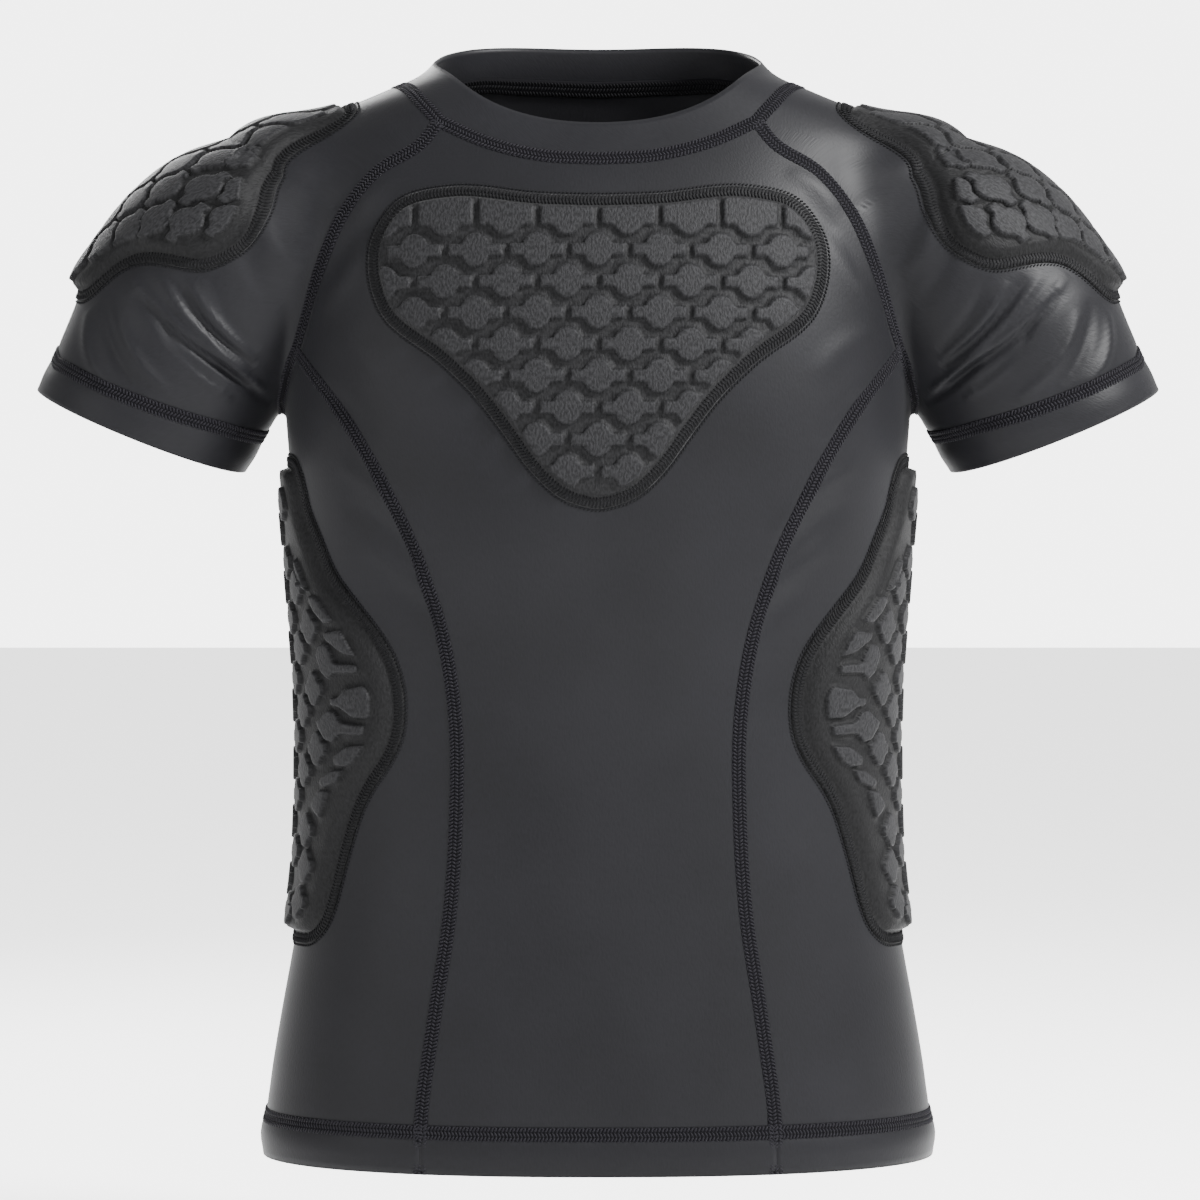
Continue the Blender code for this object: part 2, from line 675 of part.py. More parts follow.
def cut_to(loop, border):
    """The part of a small loop that lies inside the border, and nothing when little is left."""
    whole = area(loop)
    directions = inward(border)
    for _ in range(5):
        away = np.linalg.norm(loop[:, None] - border, axis=2)
        nearest = away.argmin(axis=1)
        depth = ((loop - border[nearest]) * directions[nearest]).sum(1)
        worst = depth.argmin()
        if depth[worst] > -0.05:
            break
        at = nearest[worst]
        loop = cut_by_line(loop, border[at], directions[at])
        if len(loop) < 3:
            return None
    apart = np.linalg.norm(loop - np.roll(loop, 1, axis=0), axis=1) > 1.3
    loop = loop[apart]
    if len(loop) < 3 or area(loop) < CELL_SMALLEST * whole:
        return None
    return loop


def chest_cells():
    cells = []
    for row in range(CHEST_ROWS):
        height = CHEST_FIRST_ROW - CHEST_ROW_PITCH * row
        shift = 0.5 if row % 2 == 0 else 0.0
        for place in range(-5, 5):
            middle = ((place + shift) * CHEST_CELL_PITCH, height)
            cells.append(np.array(CHEST_CELL) + middle)
    return cells


def both_halves(cells):
    """Cells of the half pad with their mirror images, those on the middle line once."""
    other = [cell * np.array([-1.0, 1.0]) for cell in cells if abs(cell[:, 0].mean()) > 0.5]
    return [counterclockwise(cell) for cell in [*cells, *other]]


def rib_cells():
    whole = [np.array(RIB_CELL) + middle for middle in RIB_CELLS]
    cut = [np.array(cell, float) for cell in RIB_CUT_CELLS]
    return both_halves([*whole, *cut])


def shoulder_cells():
    return both_halves([np.array(SHOULDER_CELL) + middle for middle in SHOULDER_CELLS])


def facets(points, loops, lines=()):
    """Triangles between flat points inside the first loop, with every loop and line kept as edges."""
    edges = [(loop[i - 1], loop[i]) for loop in loops for i in range(len(loop))]
    edges += lines
    made = delaunay_2d_cdt([Vector(point) for point in points], edges, [], 1, 1e-4)
    places, triangles, sources = made[0], made[2], made[3]
    return np.array([tuple(place) for place in places]), triangles, sources


def inside(loop, points, margin):
    """Which points lie inside a loop, and at least a margin from its edges."""
    x, y = points[:, 0:1], points[:, 1:2]
    x0, y0 = loop.T
    x1, y1 = np.roll(loop, -1, axis=0).T
    crosses = (y0 > y) != (y1 > y)
    beyond = x < x0 + (x1 - x0) * (y - y0) / np.where(y1 == y0, 1e-9, y1 - y0)
    share = ((x - x0) * (x1 - x0) + (y - y0) * (y1 - y0)) / ((x1 - x0) ** 2 + (y1 - y0) ** 2)
    share = np.clip(share, 0, 1)
    away = np.hypot(x - x0 - share * (x1 - x0), y - y0 - share * (y1 - y0)).min(axis=1)
    return ((crosses & beyond).sum(1) % 2 == 1) & (away > margin)


def meet_folds(outline, loop, panel, closed, chart):
    """Slides an outline's points along it to where it crosses the folds between a panel's facets.

    The loop holds the same points on the chart.
    """
    flat = chart(panel.reshape(-1, 3))
    triangles = np.array(panel_facets(panel, closed))
    edges = np.concatenate([triangles[:, [0, 1]], triangles[:, [1, 2]], triangles[:, [2, 0]]])
    start, along = flat[edges[:, 0]], flat[edges[:, 1]] - flat[edges[:, 0]]
    after = np.roll(outline, -1, axis=0)
    nearest = {}
    for i in range(len(loop)):
        step = loop[(i + 1) % len(loop)] - loop[i]
        cross = step[0] * along[:, 1] - step[1] * along[:, 0]
        cross = np.where(np.abs(cross) < 1e-9, 1e-9, cross)
        to = start - loop[i]
        t = (to[:, 0] * along[:, 1] - to[:, 1] * along[:, 0]) / cross
        s = (to[:, 0] * step[1] - to[:, 1] * step[0]) / cross
        for place in t[(t > 0) & (t < 1) & (s > 0) & (s < 1)]:
            point = outline[i] + (after[i] - outline[i]) * place
            corner = i if place < 0.5 else (i + 1) % len(loop)
            away = min(place, 1 - place)
            if away < nearest.get(corner, (1, None))[0]:
                nearest[corner] = (away, point)
    moved = outline.copy()
    for corner, (_, point) in nearest.items():
        moved[corner] = point
    return moved


def under_pad(loop, panel, closed, chart):
    """Points on a panel's own facet edges that lie under a pad, and the lines between them."""
    rows, columns = panel.shape[:2]
    share = np.linspace(0, 1, 25)[:, None]
    points, lines, number = [], [], {}
    from_first = folds(panel)
    for r in range(rows):
        for c in range(columns):
            d = (c + 1) % columns
            edges = [((r, c), (r + 1, c))] if r + 1 < rows else []
            if closed or c + 1 < columns:
                edges.append(((r, c), (r, d)))
                if r + 1 < rows:
                    edges.append(((r, c), (r + 1, d)) if from_first[r, c] else ((r, d), (r + 1, c)))
            for start, end in edges:
                along = panel[start] + (panel[end] - panel[start]) * share
                hits = np.flatnonzero(inside(loop, chart(along), 3.0))
                for run in np.split(hits, np.flatnonzero(np.diff(hits) > 1) + 1):
                    line = []
                    for hit in run[[0, -1]] if len(run) else ():
                        key = {0: start, 24: end}.get(hit, (start, end, hit))
                        if key not in number:
                            number[key] = len(points)
                            points.append(along[hit])
                        line.append(number[key])
                    if len(set(line)) == 2:
                        lines.append(line)
    return np.array(points), lines


def pad_face(outline, margin, slope, ground, cells):
    """The pad's outer face, flat: its points, their heights and the triangles."""
    depth = margin[0] + margin[1] * np.abs(inward(outline)[:, 0:1])
    loops = [outline]
    heights = [np.full(len(outline), PAD_EDGE)]
    for share_in, share_up in slope:
        loops.append(outline + inward(outline) * depth * share_in * 1000)
        heights.append(np.full(len(outline), PAD_EDGE + (ground - PAD_EDGE) * share_up))
    border = loops[-1] + inward(loops[-1]) * 0.4
    for cell in cells:
        foot = cut_to(cell, border)
        if foot is None:
            continue
        top = inset(foot, CELL_SLOPE * 1000)
        if area(top) < 0.2 * area(foot):
            continue
        loops += [foot, top]
        heights += [np.full(len(foot), ground), np.full(len(top), ground + CELL_RISE)]
    ends = np.cumsum([0, *[len(loop) for loop in loops]])
    numbered = [list(range(start, end)) for start, end in zip(ends[:-1], ends[1:])]
    places, triangles, sources = facets(np.concatenate(loops), numbered)
    every = np.concatenate(heights)
    height = np.array([max(every[i] for i in source) if source else ground for source in sources])
    return places, height, triangles, sources


def pad(
    name, half, place, chart, panel, closed, margin, slope, ground, cells, look, fullness=None, turn=None
):
    """A closed pad: raised cells outside, and a plain inner face on the panel's own points."""
    outline = full_outline(half)
    outline = meet_folds(outline, chart(place(outline)), panel, closed, chart)
    flat, height, triangles, sources = pad_face(outline, margin, slope, ground, cells)
    if fullness:
        height = PAD_EDGE + (height - PAD_EDGE) * np.interp(flat[:, 1], *table_columns(fullness))
    on_cloth = place(flat)
    outer_points = on_cloth + normals_on_form(on_cloth) * height[:, None]
    number = {i: n for n, source in enumerate(sources) for i in source}
    rim = [number[i] for i in range(len(outline))]

    cloth = BVHTree.FromPolygons(panel.reshape(-1, 3).tolist(), panel_facets(panel, closed))
    foot = []
    for point, normal in zip(on_cloth[rim], normals_on_form(on_cloth[rim])):
        seat = cloth.ray_cast(Vector(point + normal * PAD_REACH), Vector(-normal))[0]
        foot.append(np.array(seat) + normal * PAD_LIFT)
    foot = np.array(foot)
    under, lines = under_pad(chart(foot), panel, closed, chart)
    inner_points = np.concatenate([foot, under + normals_on_form(under) * PAD_LIFT])
    lines = [(a + len(foot), b + len(foot)) for a, b in lines]
    _, inner_triangles, inner_sources = facets(chart(inner_points), [list(range(len(foot)))], lines)

    turn = turn or np.array
    bm = bmesh.new()
    outer = [bm.verts.new(point) for point in turn(outer_points)]
    inner = [bm.verts.new(point) for point in turn(inner_points)]
    for triangle in triangles:
        bm.faces.new([outer[i] for i in triangle])
    for triangle in inner_triangles:
        bm.faces.new([inner[inner_sources[i][0]] for i in triangle])
    for i in range(len(rim)):
        j = (i + 1) % len(rim)
        bm.faces.new((outer[rim[i]], outer[rim[j]], inner[j], inner[i]))
    return add_object(name, bm, look)


def main():
    for old in list(bpy.data.objects):
        bpy.data.objects.remove(old)
    cloth = material("cloth", CLOTH_LOOK)
    collar = material("collar", COLLAR_LOOK)
    front = body_panel(-1)
    cloth_wall("front_panel", front, CLOTH_THICKNESS, cloth)
    cloth_wall("back_panel", body_panel(1), CLOTH_THICKNESS, cloth)
    cloth_wall("collar_band", collar_panel(), COLLAR_THICKNESS, collar, closed=True, drawn=False)
    padding = material("pad", PAD_LOOK)
    side = side_panel()
    sleeve = sleeve_panel()
    pad("chest_pad", CHEST_OUTLINE, chest_place, chest_chart, front, False, CHEST_MARGIN,
        CHEST_SLOPE, CHEST_GROUND, chest_cells(), padding)
    for name, place in (("right", np.array), ("left", mirrored)):
        cloth_wall(f"side_panel_{name}", place(side), CLOTH_THICKNESS, cloth)
        cloth_wall(f"sleeve_{name}", place(sleeve), CLOTH_THICKNESS, cloth, closed=True)
        pad(f"rib_pad_{name}", RIB_OUTLINE, rib_place, rib_chart, side, False, RIB_MARGIN,
            THICK_SLOPE, THICK_GROUND, rib_cells(), padding, turn=place)
        pad(f"shoulder_pad_{name}", SHOULDER_OUTLINE, shoulder_place, shoulder_chart, sleeve, True,
            SHOULDER_MARGIN, THICK_SLOPE, THICK_GROUND, shoulder_cells(), padding,
            fullness=SHOULDER_FULLNESS, turn=place)


main()
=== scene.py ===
# %% [markdown]
# # A padded compression shirt
# This lesson dresses the solids of a short-sleeved compression shirt. The real shirt is cut from fine
# stretch knit, sewn flat with wide cover stitches, and carries five moulded foam pads. The solids fix the
# size and the place of every piece, so all that is made here lies on the same smooth form as they do.

# %% Load the frame
import math

import bmesh
import bpy
import numpy as np
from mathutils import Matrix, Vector
from mathutils.geometry import delaunay_2d_cdt


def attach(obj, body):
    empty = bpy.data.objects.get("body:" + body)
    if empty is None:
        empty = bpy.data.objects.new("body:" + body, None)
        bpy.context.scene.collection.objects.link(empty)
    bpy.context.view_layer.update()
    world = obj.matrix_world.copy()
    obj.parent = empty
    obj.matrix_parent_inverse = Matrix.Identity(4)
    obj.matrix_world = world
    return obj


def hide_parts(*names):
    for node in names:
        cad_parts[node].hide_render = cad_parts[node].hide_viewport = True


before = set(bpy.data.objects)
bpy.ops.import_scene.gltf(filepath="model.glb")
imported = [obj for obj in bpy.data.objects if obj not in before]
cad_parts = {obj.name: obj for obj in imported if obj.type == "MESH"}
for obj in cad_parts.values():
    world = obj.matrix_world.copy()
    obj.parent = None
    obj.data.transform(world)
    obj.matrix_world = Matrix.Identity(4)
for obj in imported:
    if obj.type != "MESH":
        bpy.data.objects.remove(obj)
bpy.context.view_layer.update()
MM = 0.001
BODY = "root"
print("solids in the frame:", len(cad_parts))


def new_object(name, data):
    made = bpy.data.objects.new(name, data)
    bpy.context.scene.collection.objects.link(made)
    return made



# %% [markdown]
# ## The view
# The photograph was taken straight from the front, level with the chest. A long lens about two metres away
# gives the same weak perspective: the frame is 0.6 m wide in the plane of the shirt's sides.

# %% Camera
CAMERA_PLACE = (0.001, -2.064, -0.250)
VIEW_WIDTH = 0.600
SENSOR = 36.0

camera_data = bpy.data.cameras.new("camera")
camera_data.sensor_width = SENSOR
camera_data.lens = SENSOR * -CAMERA_PLACE[1] / VIEW_WIDTH
camera = new_object("camera", camera_data)
camera.location = CAMERA_PLACE
camera.rotation_euler = (math.radians(90), 0, 0)
bpy.context.scene.camera = camera
print("lens in mm:", round(camera_data.lens, 1))

# %% [markdown]
# ## The form under the cloth
# A worn shirt takes a smooth round form. It could be sculpted, but a few tables of widths and depths say it
# exactly: rings for the torso, ovals along each arm, and a soft blend where they meet. Every panel, pad and
# stitch is then laid on this one form, so that neighbours always fit.

# %% Sizes of the torso and the arms
TORSO_SQUARENESS = 2.30
BLEND_UNDER_ARM = 0.007
BLEND_ON_SHOULDER = 0.022
BLEND_HEIGHTS = (-0.1250, -0.0600)
PROBE = 0.0004
CURVE_POINTS = 400
TINY = 1e-9
FORM_FAR = 0.200
COMING_STEPS = 26
COMING_SHARE = 0.9
HEM_HEIGHT = -0.5250

# height, half width, depth in front, depth behind
TORSO = (
    (-0.5450, 0.1665, 0.0985, 0.1005),
    (-0.5250, 0.1668, 0.0985, 0.1005),
    (-0.5120, 0.1675, 0.0983, 0.1003),
    (-0.5030, 0.1655, 0.0978, 0.0998),
    (-0.4780, 0.1618, 0.0965, 0.0985),
    (-0.4520, 0.1574, 0.0950, 0.0962),
    (-0.4270, 0.1528, 0.0935, 0.0930),
    (-0.3950, 0.1474, 0.0915, 0.0885),
    (-0.3280, 0.1442, 0.0890, 0.0815),
    (-0.2900, 0.1450, 0.0905, 0.0830),
    (-0.2520, 0.1478, 0.0945, 0.0870),
    (-0.2150, 0.1508, 0.0985, 0.0920),
    (-0.1850, 0.1535, 0.1005, 0.0960),
    (-0.1500, 0.1560, 0.1000, 0.0985),
    (-0.1100, 0.1560, 0.0955, 0.0980),
    (-0.0700, 0.1540, 0.0855, 0.0930),
    (-0.0370, 0.1500, 0.0725, 0.0830),
    (-0.0180, 0.1455, 0.0630, 0.0745),
    (-0.0080, 0.1325, 0.0590, 0.0695),
    (0.0020, 0.1095, 0.0560, 0.0640),
    (0.0100, 0.0910, 0.0540, 0.0600),
    (0.0180, 0.0820, 0.0525, 0.0560),
    (0.0300, 0.0780, 0.0510, 0.0520),
    (0.0500, 0.0765, 0.0500, 0.0510),
)

# Where each arm leaves the shoulder and where its cuff is, in the front view
ARM_ROOT = (0.1500, -0.0450)
ARM_TIP = (0.2280, -0.1650)
ARM_CAP = 0.0280
ARM_LENGTH = math.dist(ARM_ROOT, ARM_TIP)
ARM_ALONG = tuple((tip - root) / ARM_LENGTH for root, tip in zip(ARM_ROOT, ARM_TIP))
ARM_ACROSS = (-ARM_ALONG[1], ARM_ALONG[0])
UP = np.array([0.0, 0.0, 1.0])
ARM_AXIS = np.array([ARM_ALONG[0], 0.0, ARM_ALONG[1]])
ARM_OUTWARD = np.array([ARM_ACROSS[0], 0.0, ARM_ACROSS[1]])
ARM_START = np.array([ARM_ROOT[0], 0.0, ARM_ROOT[1]])
CUFF_SLANT = 0.190
CUFF_DIP_IN_FRONT = 0.120

# distance along the arm, middle across, half width across, half depth
ARM = (
    (0.0000, 0.0000, 0.0360, 0.0450),
    (0.0240, 0.0008, 0.0523, 0.0510),
    (0.0450, 0.0018, 0.0588, 0.0530),
    (0.0760, 0.0038, 0.0603, 0.0535),
    (0.0960, 0.0058, 0.0585, 0.0530),
    (0.1110, 0.0039, 0.0572, 0.0520),
    (0.1500, -0.0003, 0.0552, 0.0490),
    (0.1800, -0.0020, 0.0545, 0.0480),
)

# %% Reading the tables, and the form itself


def table_columns(table):
    return [np.array(column, float) for column in zip(*table)]


def smooth_read(keys, values, at):
    """Values at any key, on a smooth curve through the table's rows."""
    slopes = np.gradient(values, keys)
    at = np.clip(at, keys[0], keys[-1])
    row = np.clip(np.searchsorted(keys, at) - 1, 0, len(keys) - 2)
    step = keys[row + 1] - keys[row]
    t = (at - keys[row]) / step
    start = values[row] * (2 * t**3 - 3 * t**2 + 1) + slopes[row] * step * (t**3 - 2 * t**2 + t)
    end = values[row + 1] * (3 * t**2 - 2 * t**3) + slopes[row + 1] * step * (t**3 - t**2)
    return start + end


TORSO_HEIGHTS, TORSO_WIDTHS, TORSO_FRONTS, TORSO_BACKS = table_columns(TORSO)
ARM_STATIONS, ARM_MIDDLES, ARM_WIDTHS, ARM_DEPTHS = table_columns(ARM)


def torso_size(height, in_front):
    """Half width of the torso at a height, and its depth in front or behind."""
    width = smooth_read(TORSO_HEIGHTS, TORSO_WIDTHS, height)
    front = smooth_read(TORSO_HEIGHTS, TORSO_FRONTS, height)
    back = smooth_read(TORSO_HEIGHTS, TORSO_BACKS, height)
    return width, np.where(in_front, front, back)


def torso_shape(p):
    """Below zero inside the torso: flattened rings of the table's widths and depths."""
    width, depth = torso_size(p[:, 2], p[:, 1] < 0)
    across = np.abs(p[:, 0]) / width
    through = np.abs(p[:, 1]) / depth
    return (across**TORSO_SQUARENESS + through**TORSO_SQUARENESS) ** (1 / TORSO_SQUARENESS) - 1


def arm_place(p):
    """Distance along the arm from the shoulder, and distance across it, of points on either side."""
    x = np.abs(p[:, 0]) - ARM_ROOT[0]
    z = p[:, 2] - ARM_ROOT[1]
    return x * ARM_ALONG[0] + z * ARM_ALONG[1], x * ARM_ACROSS[0] + z * ARM_ACROSS[1]


def arm_shape(p):
    """Below zero inside an arm: oval sections along its line, with a rounded end at the shoulder."""
    along, across = arm_place(p)
    columns = (ARM_MIDDLES, ARM_WIDTHS, ARM_DEPTHS)
    middle, width, depth = (smooth_read(ARM_STATIONS, column, along) for column in columns)
    cap = np.minimum(along, 0) / ARM_CAP
    return np.sqrt(((across - middle) / width) ** 2 + (p[:, 1] / depth) ** 2 + cap**2) - 1


def gradient(shape, p):
    here = shape(p)
    steps = np.eye(3) * PROBE
    return np.stack([(shape(p + step) - here) / PROBE for step in steps], axis=1)


def as_distance(shape, p):
    here = shape(p)
    steep = [(shape(p + step) - here) / PROBE for step in np.eye(3) * PROBE]
    return here / np.maximum(np.sqrt(steep[0] ** 2 + steep[1] ** 2 + steep[2] ** 2), 1.0)


def form(p):
    """Distance outside the worn shirt's outer face: torso and arms, blended at the shoulders."""
    torso = as_distance(torso_shape, p)
    arm = as_distance(arm_shape, p)
    low, high = BLEND_HEIGHTS
    lift = np.clip((p[:, 2] - low) / (high - low), 0, 1)
    blend = BLEND_UNDER_ARM + (BLEND_ON_SHOULDER - BLEND_UNDER_ARM) * lift**2 * (3 - 2 * lift)
    share = np.clip(0.5 + 0.5 * (arm - torso) / blend, 0, 1)
    return arm + (torso - arm) * share - blend * share * (1 - share)


# %% Moving points to the form and over it


def unit(vectors):
    return vectors / np.maximum(np.linalg.norm(vectors, axis=-1, keepdims=True), 1e-12)


def on_form(points, axis=None, rounds=8, longest=0.010):
    """Moves points to the form's surface. With an axis they keep their place along it."""
    shape = np.shape(points)
    p = np.array(points, float).reshape(-1, 3)
    for _ in range(rounds):
        slope = gradient(form, p)
        if axis is not None:
            slope -= (slope @ axis)[:, None] * axis
        move = slope * (form(p) / np.maximum((slope**2).sum(1), 0.05))[:, None]
        size = np.linalg.norm(move, axis=1, keepdims=True)
        p -= move * np.minimum(1, longest / np.maximum(size, 1e-12))
    return p.reshape(shape)


def normals_on_form(points):
    return unit(gradient(form, points.reshape(-1, 3))).reshape(points.shape)


def come_in(points, outward):
    """Points of the form met by coming in from outside, against the outward direction."""
    shape = np.shape(points)
    p = np.reshape(points, (-1, 3)) + outward * FORM_FAR
    for _ in range(COMING_STEPS):
        p -= outward * form(p)[:, None] * COMING_SHARE
    return p.reshape(shape)


def seen_from(face, x, z):
    """Points of the form at x and z, found from in front (face -1) or behind (face +1)."""
    return come_in(np.stack([x, np.zeros(np.shape(x)), z], axis=-1), np.array([0.0, face, 0.0]))


def lengths_to(path):
    """Length of a path up to each of its points."""
    return np.concatenate([[0], np.cumsum(np.linalg.norm(np.diff(path, axis=0), axis=1))])


def points_at(path, lengths):
    """Points of a path at lengths from its start."""
    gone = lengths_to(path)
    return np.stack([np.interp(lengths, gone, column) for column in path.T], axis=1)


def smooth_path(rows, steps):
    """Evenly spaced points on a smooth curve through the rows."""
    rows = np.array(rows, float)
    lengths = lengths_to(rows)
    fine = np.linspace(0, lengths[-1], CURVE_POINTS)
    curve = np.stack([smooth_read(lengths, column, fine) for column in rows.T], axis=1)
    return points_at(curve, np.linspace(0, lengths_to(curve)[-1], steps + 1))


def walk(points, directions, distance, steps=4):
    """Points reached by walking over the form's surface, each in its own direction."""
    p = np.array(points, float)
    d = np.array(directions, float)
    for _ in range(steps):
        n = normals_on_form(p)
        d = unit(d - n * (d * n).sum(-1, keepdims=True))
        p = on_form(p + d * (np.asarray(distance)[..., None] / steps), rounds=3)
    return p


def go_round(start, axis, reach, steps=10):
    """Points reached by going round the form in planes square to an axis, to the front below zero."""
    p = np.array(start, float)
    d = np.zeros(p.shape)
    d[:, 1] = np.where(reach < 0, -1, 1)
    for _ in range(steps):
        slope = gradient(form, p)
        slope -= (slope @ axis)[:, None] * axis
        n = unit(slope)
        d = unit(d - n * (d * n).sum(-1, keepdims=True))
        p = on_form(p + d * (np.abs(reach) / steps)[:, None], axis=axis, rounds=1)
    return on_form(p, axis=axis, rounds=2)


def rounded(loop, rounds):
    for _ in range(rounds):
        loop = (np.roll(loop, 1, axis=0) + 2 * loop + np.roll(loop, -1, axis=0)) / 4
    return loop


def mirrored(points):
    return points * np.array([-1.0, 1.0, 1.0])


def finer(values, factor, closed=False):
    """Rows between the rows of an array, on smooth curves through them."""
    count = len(values)
    spans = count if closed else count - 1
    at = np.arange(spans * factor + (0 if closed else 1)) / factor
    row = np.minimum(at.astype(int), spans - 1)
    t = (at - row).reshape(-1, *[1] * (values.ndim - 1))
    if closed:
        wide = values[np.arange(-1, count + 2) % count]
    else:
        wide = np.concatenate([2 * values[:1] - values[1:2], values, 2 * values[-1:] - values[-2:-1]])
    a, b, c, d = (wide[row + k] for k in range(4))
    return b + t * (c - a) / 2 + t**2 * (a - 2.5 * b + 2 * c - d / 2) + t**3 * (1.5 * (b - c) + (d - a) / 2)


# %% [markdown]
# ## Seams
# The real shirt has no side seams. A curved princess seam runs up each side of the front and of the back,
# raglan seams run from the armholes to the neck, and the sleeve is one piece over the whole shoulder. Each
# seam is a short table in the front view, which is then found on the form from in front or from behind.

# %% Seam tables
PRINCESS_SEAM = (
    (0.0855, HEM_HEIGHT),
    (0.0850, -0.5030),
    (0.0785, -0.4510),
    (0.0710, -0.4000),
    (0.0682, -0.3550),
    (0.0686, -0.3060),
    (0.0725, -0.2770),
    (0.0900, -0.2220),
    (0.1160, -0.1725),
    (0.1484, -0.1280),
)
RAGLAN_FRONT = (
    (0.1484, -0.1280),
    (0.1440, -0.1150),
    (0.1343, -0.0850),
    (0.1234, -0.0612),
    (0.1080, -0.0423),
    (0.0842, -0.0266),
    (0.0774, -0.0170),
)
RAGLAN_BACK = (
    (0.1484, -0.1280),
    (0.1400, -0.0950),
    (0.1250, -0.0600),
    (0.1020, -0.0240),
    (0.0800, 0.0100),
)
NECK_FRONT = ((0.0000, -0.0370), (0.0300, -0.0348), (0.0550, -0.0278), (0.0774, -0.0170))
NECK_BACK = ((0.0000, 0.0130), (0.0400, 0.0138), (0.0620, 0.0135), (0.0800, 0.0100))
NECK_SIDE = (0.0990, 0.0000, 0.0070)
ARMPIT = (0.1585, 0.0000, -0.1540)
UNDERARM_DROP = 0.006
COLLAR_HEIGHT = 0.0200

PRINCESS_STEPS = 120
RAGLAN_STEPS = 49
UNDERARM_STEPS = 48
NECK_STEPS = 72
NECK_SIDE_STEPS = 35
SLEEVE_FINER = 10
SLEEVE_ROWS = 9
SLEEVE_EASING = 60
COLLAR_STEPS = 8
CUFF_ANGLE_UNDERARM = 48.0
CUFF_ANGLE_RAGLAN = 168.0

# %% Seams as rows of points on the form


def princess_seam(face, steps=PRINCESS_STEPS):
    x, z = smooth_path(PRINCESS_SEAM, steps).T
    return seen_from(face, x, z)


def raglan_seam(face, steps=RAGLAN_STEPS):
    rows = RAGLAN_FRONT if face < 0 else RAGLAN_BACK
    x, z = smooth_path(rows, steps).T
    return seen_from(face, x, z)


def seam_through(stops, steps):
    """A seam on the form whose first and last points are those of the stops."""
    path = smooth_path(stops, steps)
    return np.concatenate([stops[:1], on_form(path[1:-1]), stops[-1:]])


def underarm_seam(steps=UNDERARM_STEPS):
    """From the front of the armhole under the arm to its back."""
    front = princess_seam(-1, 12)[-1]
    back = princess_seam(1, 12)[-1]
    half_way = [(end + np.array(ARMPIT)) / 2 for end in (front, back)]
    half_way = [point - UP * UNDERARM_DROP for point in half_way]
    return seam_through([front, half_way[0], ARMPIT, half_way[1], back], steps)


def neck_half(face, steps=NECK_STEPS):
    """The neck seam from the left raglan seam to the right one, in front or behind."""
    rows = NECK_FRONT if face < 0 else NECK_BACK
    xs, zs = table_columns(rows)
    x = np.linspace(-xs[-1], xs[-1], steps + 1)
    return seen_from(face, x, smooth_read(xs, zs, np.abs(x)))


def neck_side(steps=NECK_SIDE_STEPS):
    """The neck seam over the right shoulder, from the front raglan seam to the back one."""
    front = raglan_seam(-1, 7)[-1]
    back = raglan_seam(1, 7)[-1]
    return seam_through([front, NECK_SIDE, back], steps)


def neck_ring():
    side = neck_side()
    front, back = neck_half(-1), neck_half(1)
    return np.concatenate([front[:-1], side[:-1], back[::-1][:-1], mirrored(side[::-1])[:-1]])


princess = {face: princess_seam(face) for face in (-1, 1)}
raglan = {face: raglan_seam(face) for face in (-1, 1)}
underarm = underarm_seam()
neck = neck_ring()
print("neck seam all round, mm:", round(np.linalg.norm(neck - np.roll(neck, 1, 0), axis=1).sum() * 1000))

# %% [markdown]
# ## Panels as grids
# A panel is a grid of points whose edges are its seams. The front and back are found straight from the
# front view. The side panels go round the body at each height. The sleeve is harder, because its rings
# change from a round cuff to the whole armhole and neck, so a coarse grid is eased on the form first,
# like a stretched net, and then made finer.

# %% Grids of the panels


def body_panel(face):
    """Front or back: rows from the hem to the neck, columns from the left seam to the right one."""
    seam = np.concatenate([princess[face], raglan[face][1:]])
    top = neck_half(face)
    across = np.linspace(-1, 1, NECK_STEPS + 1)
    rows = len(seam) - 1
    grid_x = seam[:, 0:1] * across
    dip = top[:, 2] - top[-1, 2]
    rise = (np.arange(rows + 1) - PRINCESS_STEPS + 4 * RAGLAN_STEPS / 7) / (RAGLAN_STEPS * 11 / 7)
    share = np.clip(rise, 0, 1) ** 1.5
    grid = seen_from(face, grid_x, seam[:, 2:3] + dip * share[:, None])
    grid[-1] = top
    grid[:, -1] = seam
    grid[:, 0] = mirrored(seam)
    return grid


def side_panel():
    """From the front princess seam round the side to the back one, and from the hem to the armhole."""
    front, back, top = princess[-1], princess[1], underarm
    turn = np.linspace(0, 1, UNDERARM_STEPS + 1)
    dip = top[:, 2] - top[0, 2]
    share = (np.arange(PRINCESS_STEPS + 1) / PRINCESS_STEPS) ** 4
    angle_front = np.arctan2(front[:, 1], front[:, 0])[:, None]
    angle_back = np.arctan2(back[:, 1], back[:, 0])[:, None]
    angle = angle_front + (angle_back - angle_front) * turn
    z = front[:, 2:3] + dip * share[:, None]
    reach, depth = torso_size(z, angle < 0)
    radius = 1 / np.hypot(np.cos(angle) / reach, np.sin(angle) / depth)
    grid = on_form(np.stack([radius * np.cos(angle), radius * np.sin(angle), z], axis=-1), axis=UP)
    grid[-1] = top
    grid[:, 0] = front
    grid[:, -1] = back
    return grid


def cuff_ring(angles):
    """Points of the right cuff's edge, at angles from its inner side, the front ones negative."""
    across = -np.cos(angles) * ARM_WIDTHS[-2]
    y = np.sin(angles) * ARM_DEPTHS[-2]
    along = ARM_LENGTH + CUFF_SLANT * across - CUFF_DIP_IN_FRONT * y
    x = ARM_ROOT[0] + along * ARM_ALONG[0] + across * ARM_ACROSS[0]
    z = ARM_ROOT[1] + along * ARM_ALONG[1] + across * ARM_ACROSS[1]
    return on_form(np.stack([x, y, z], axis=-1))


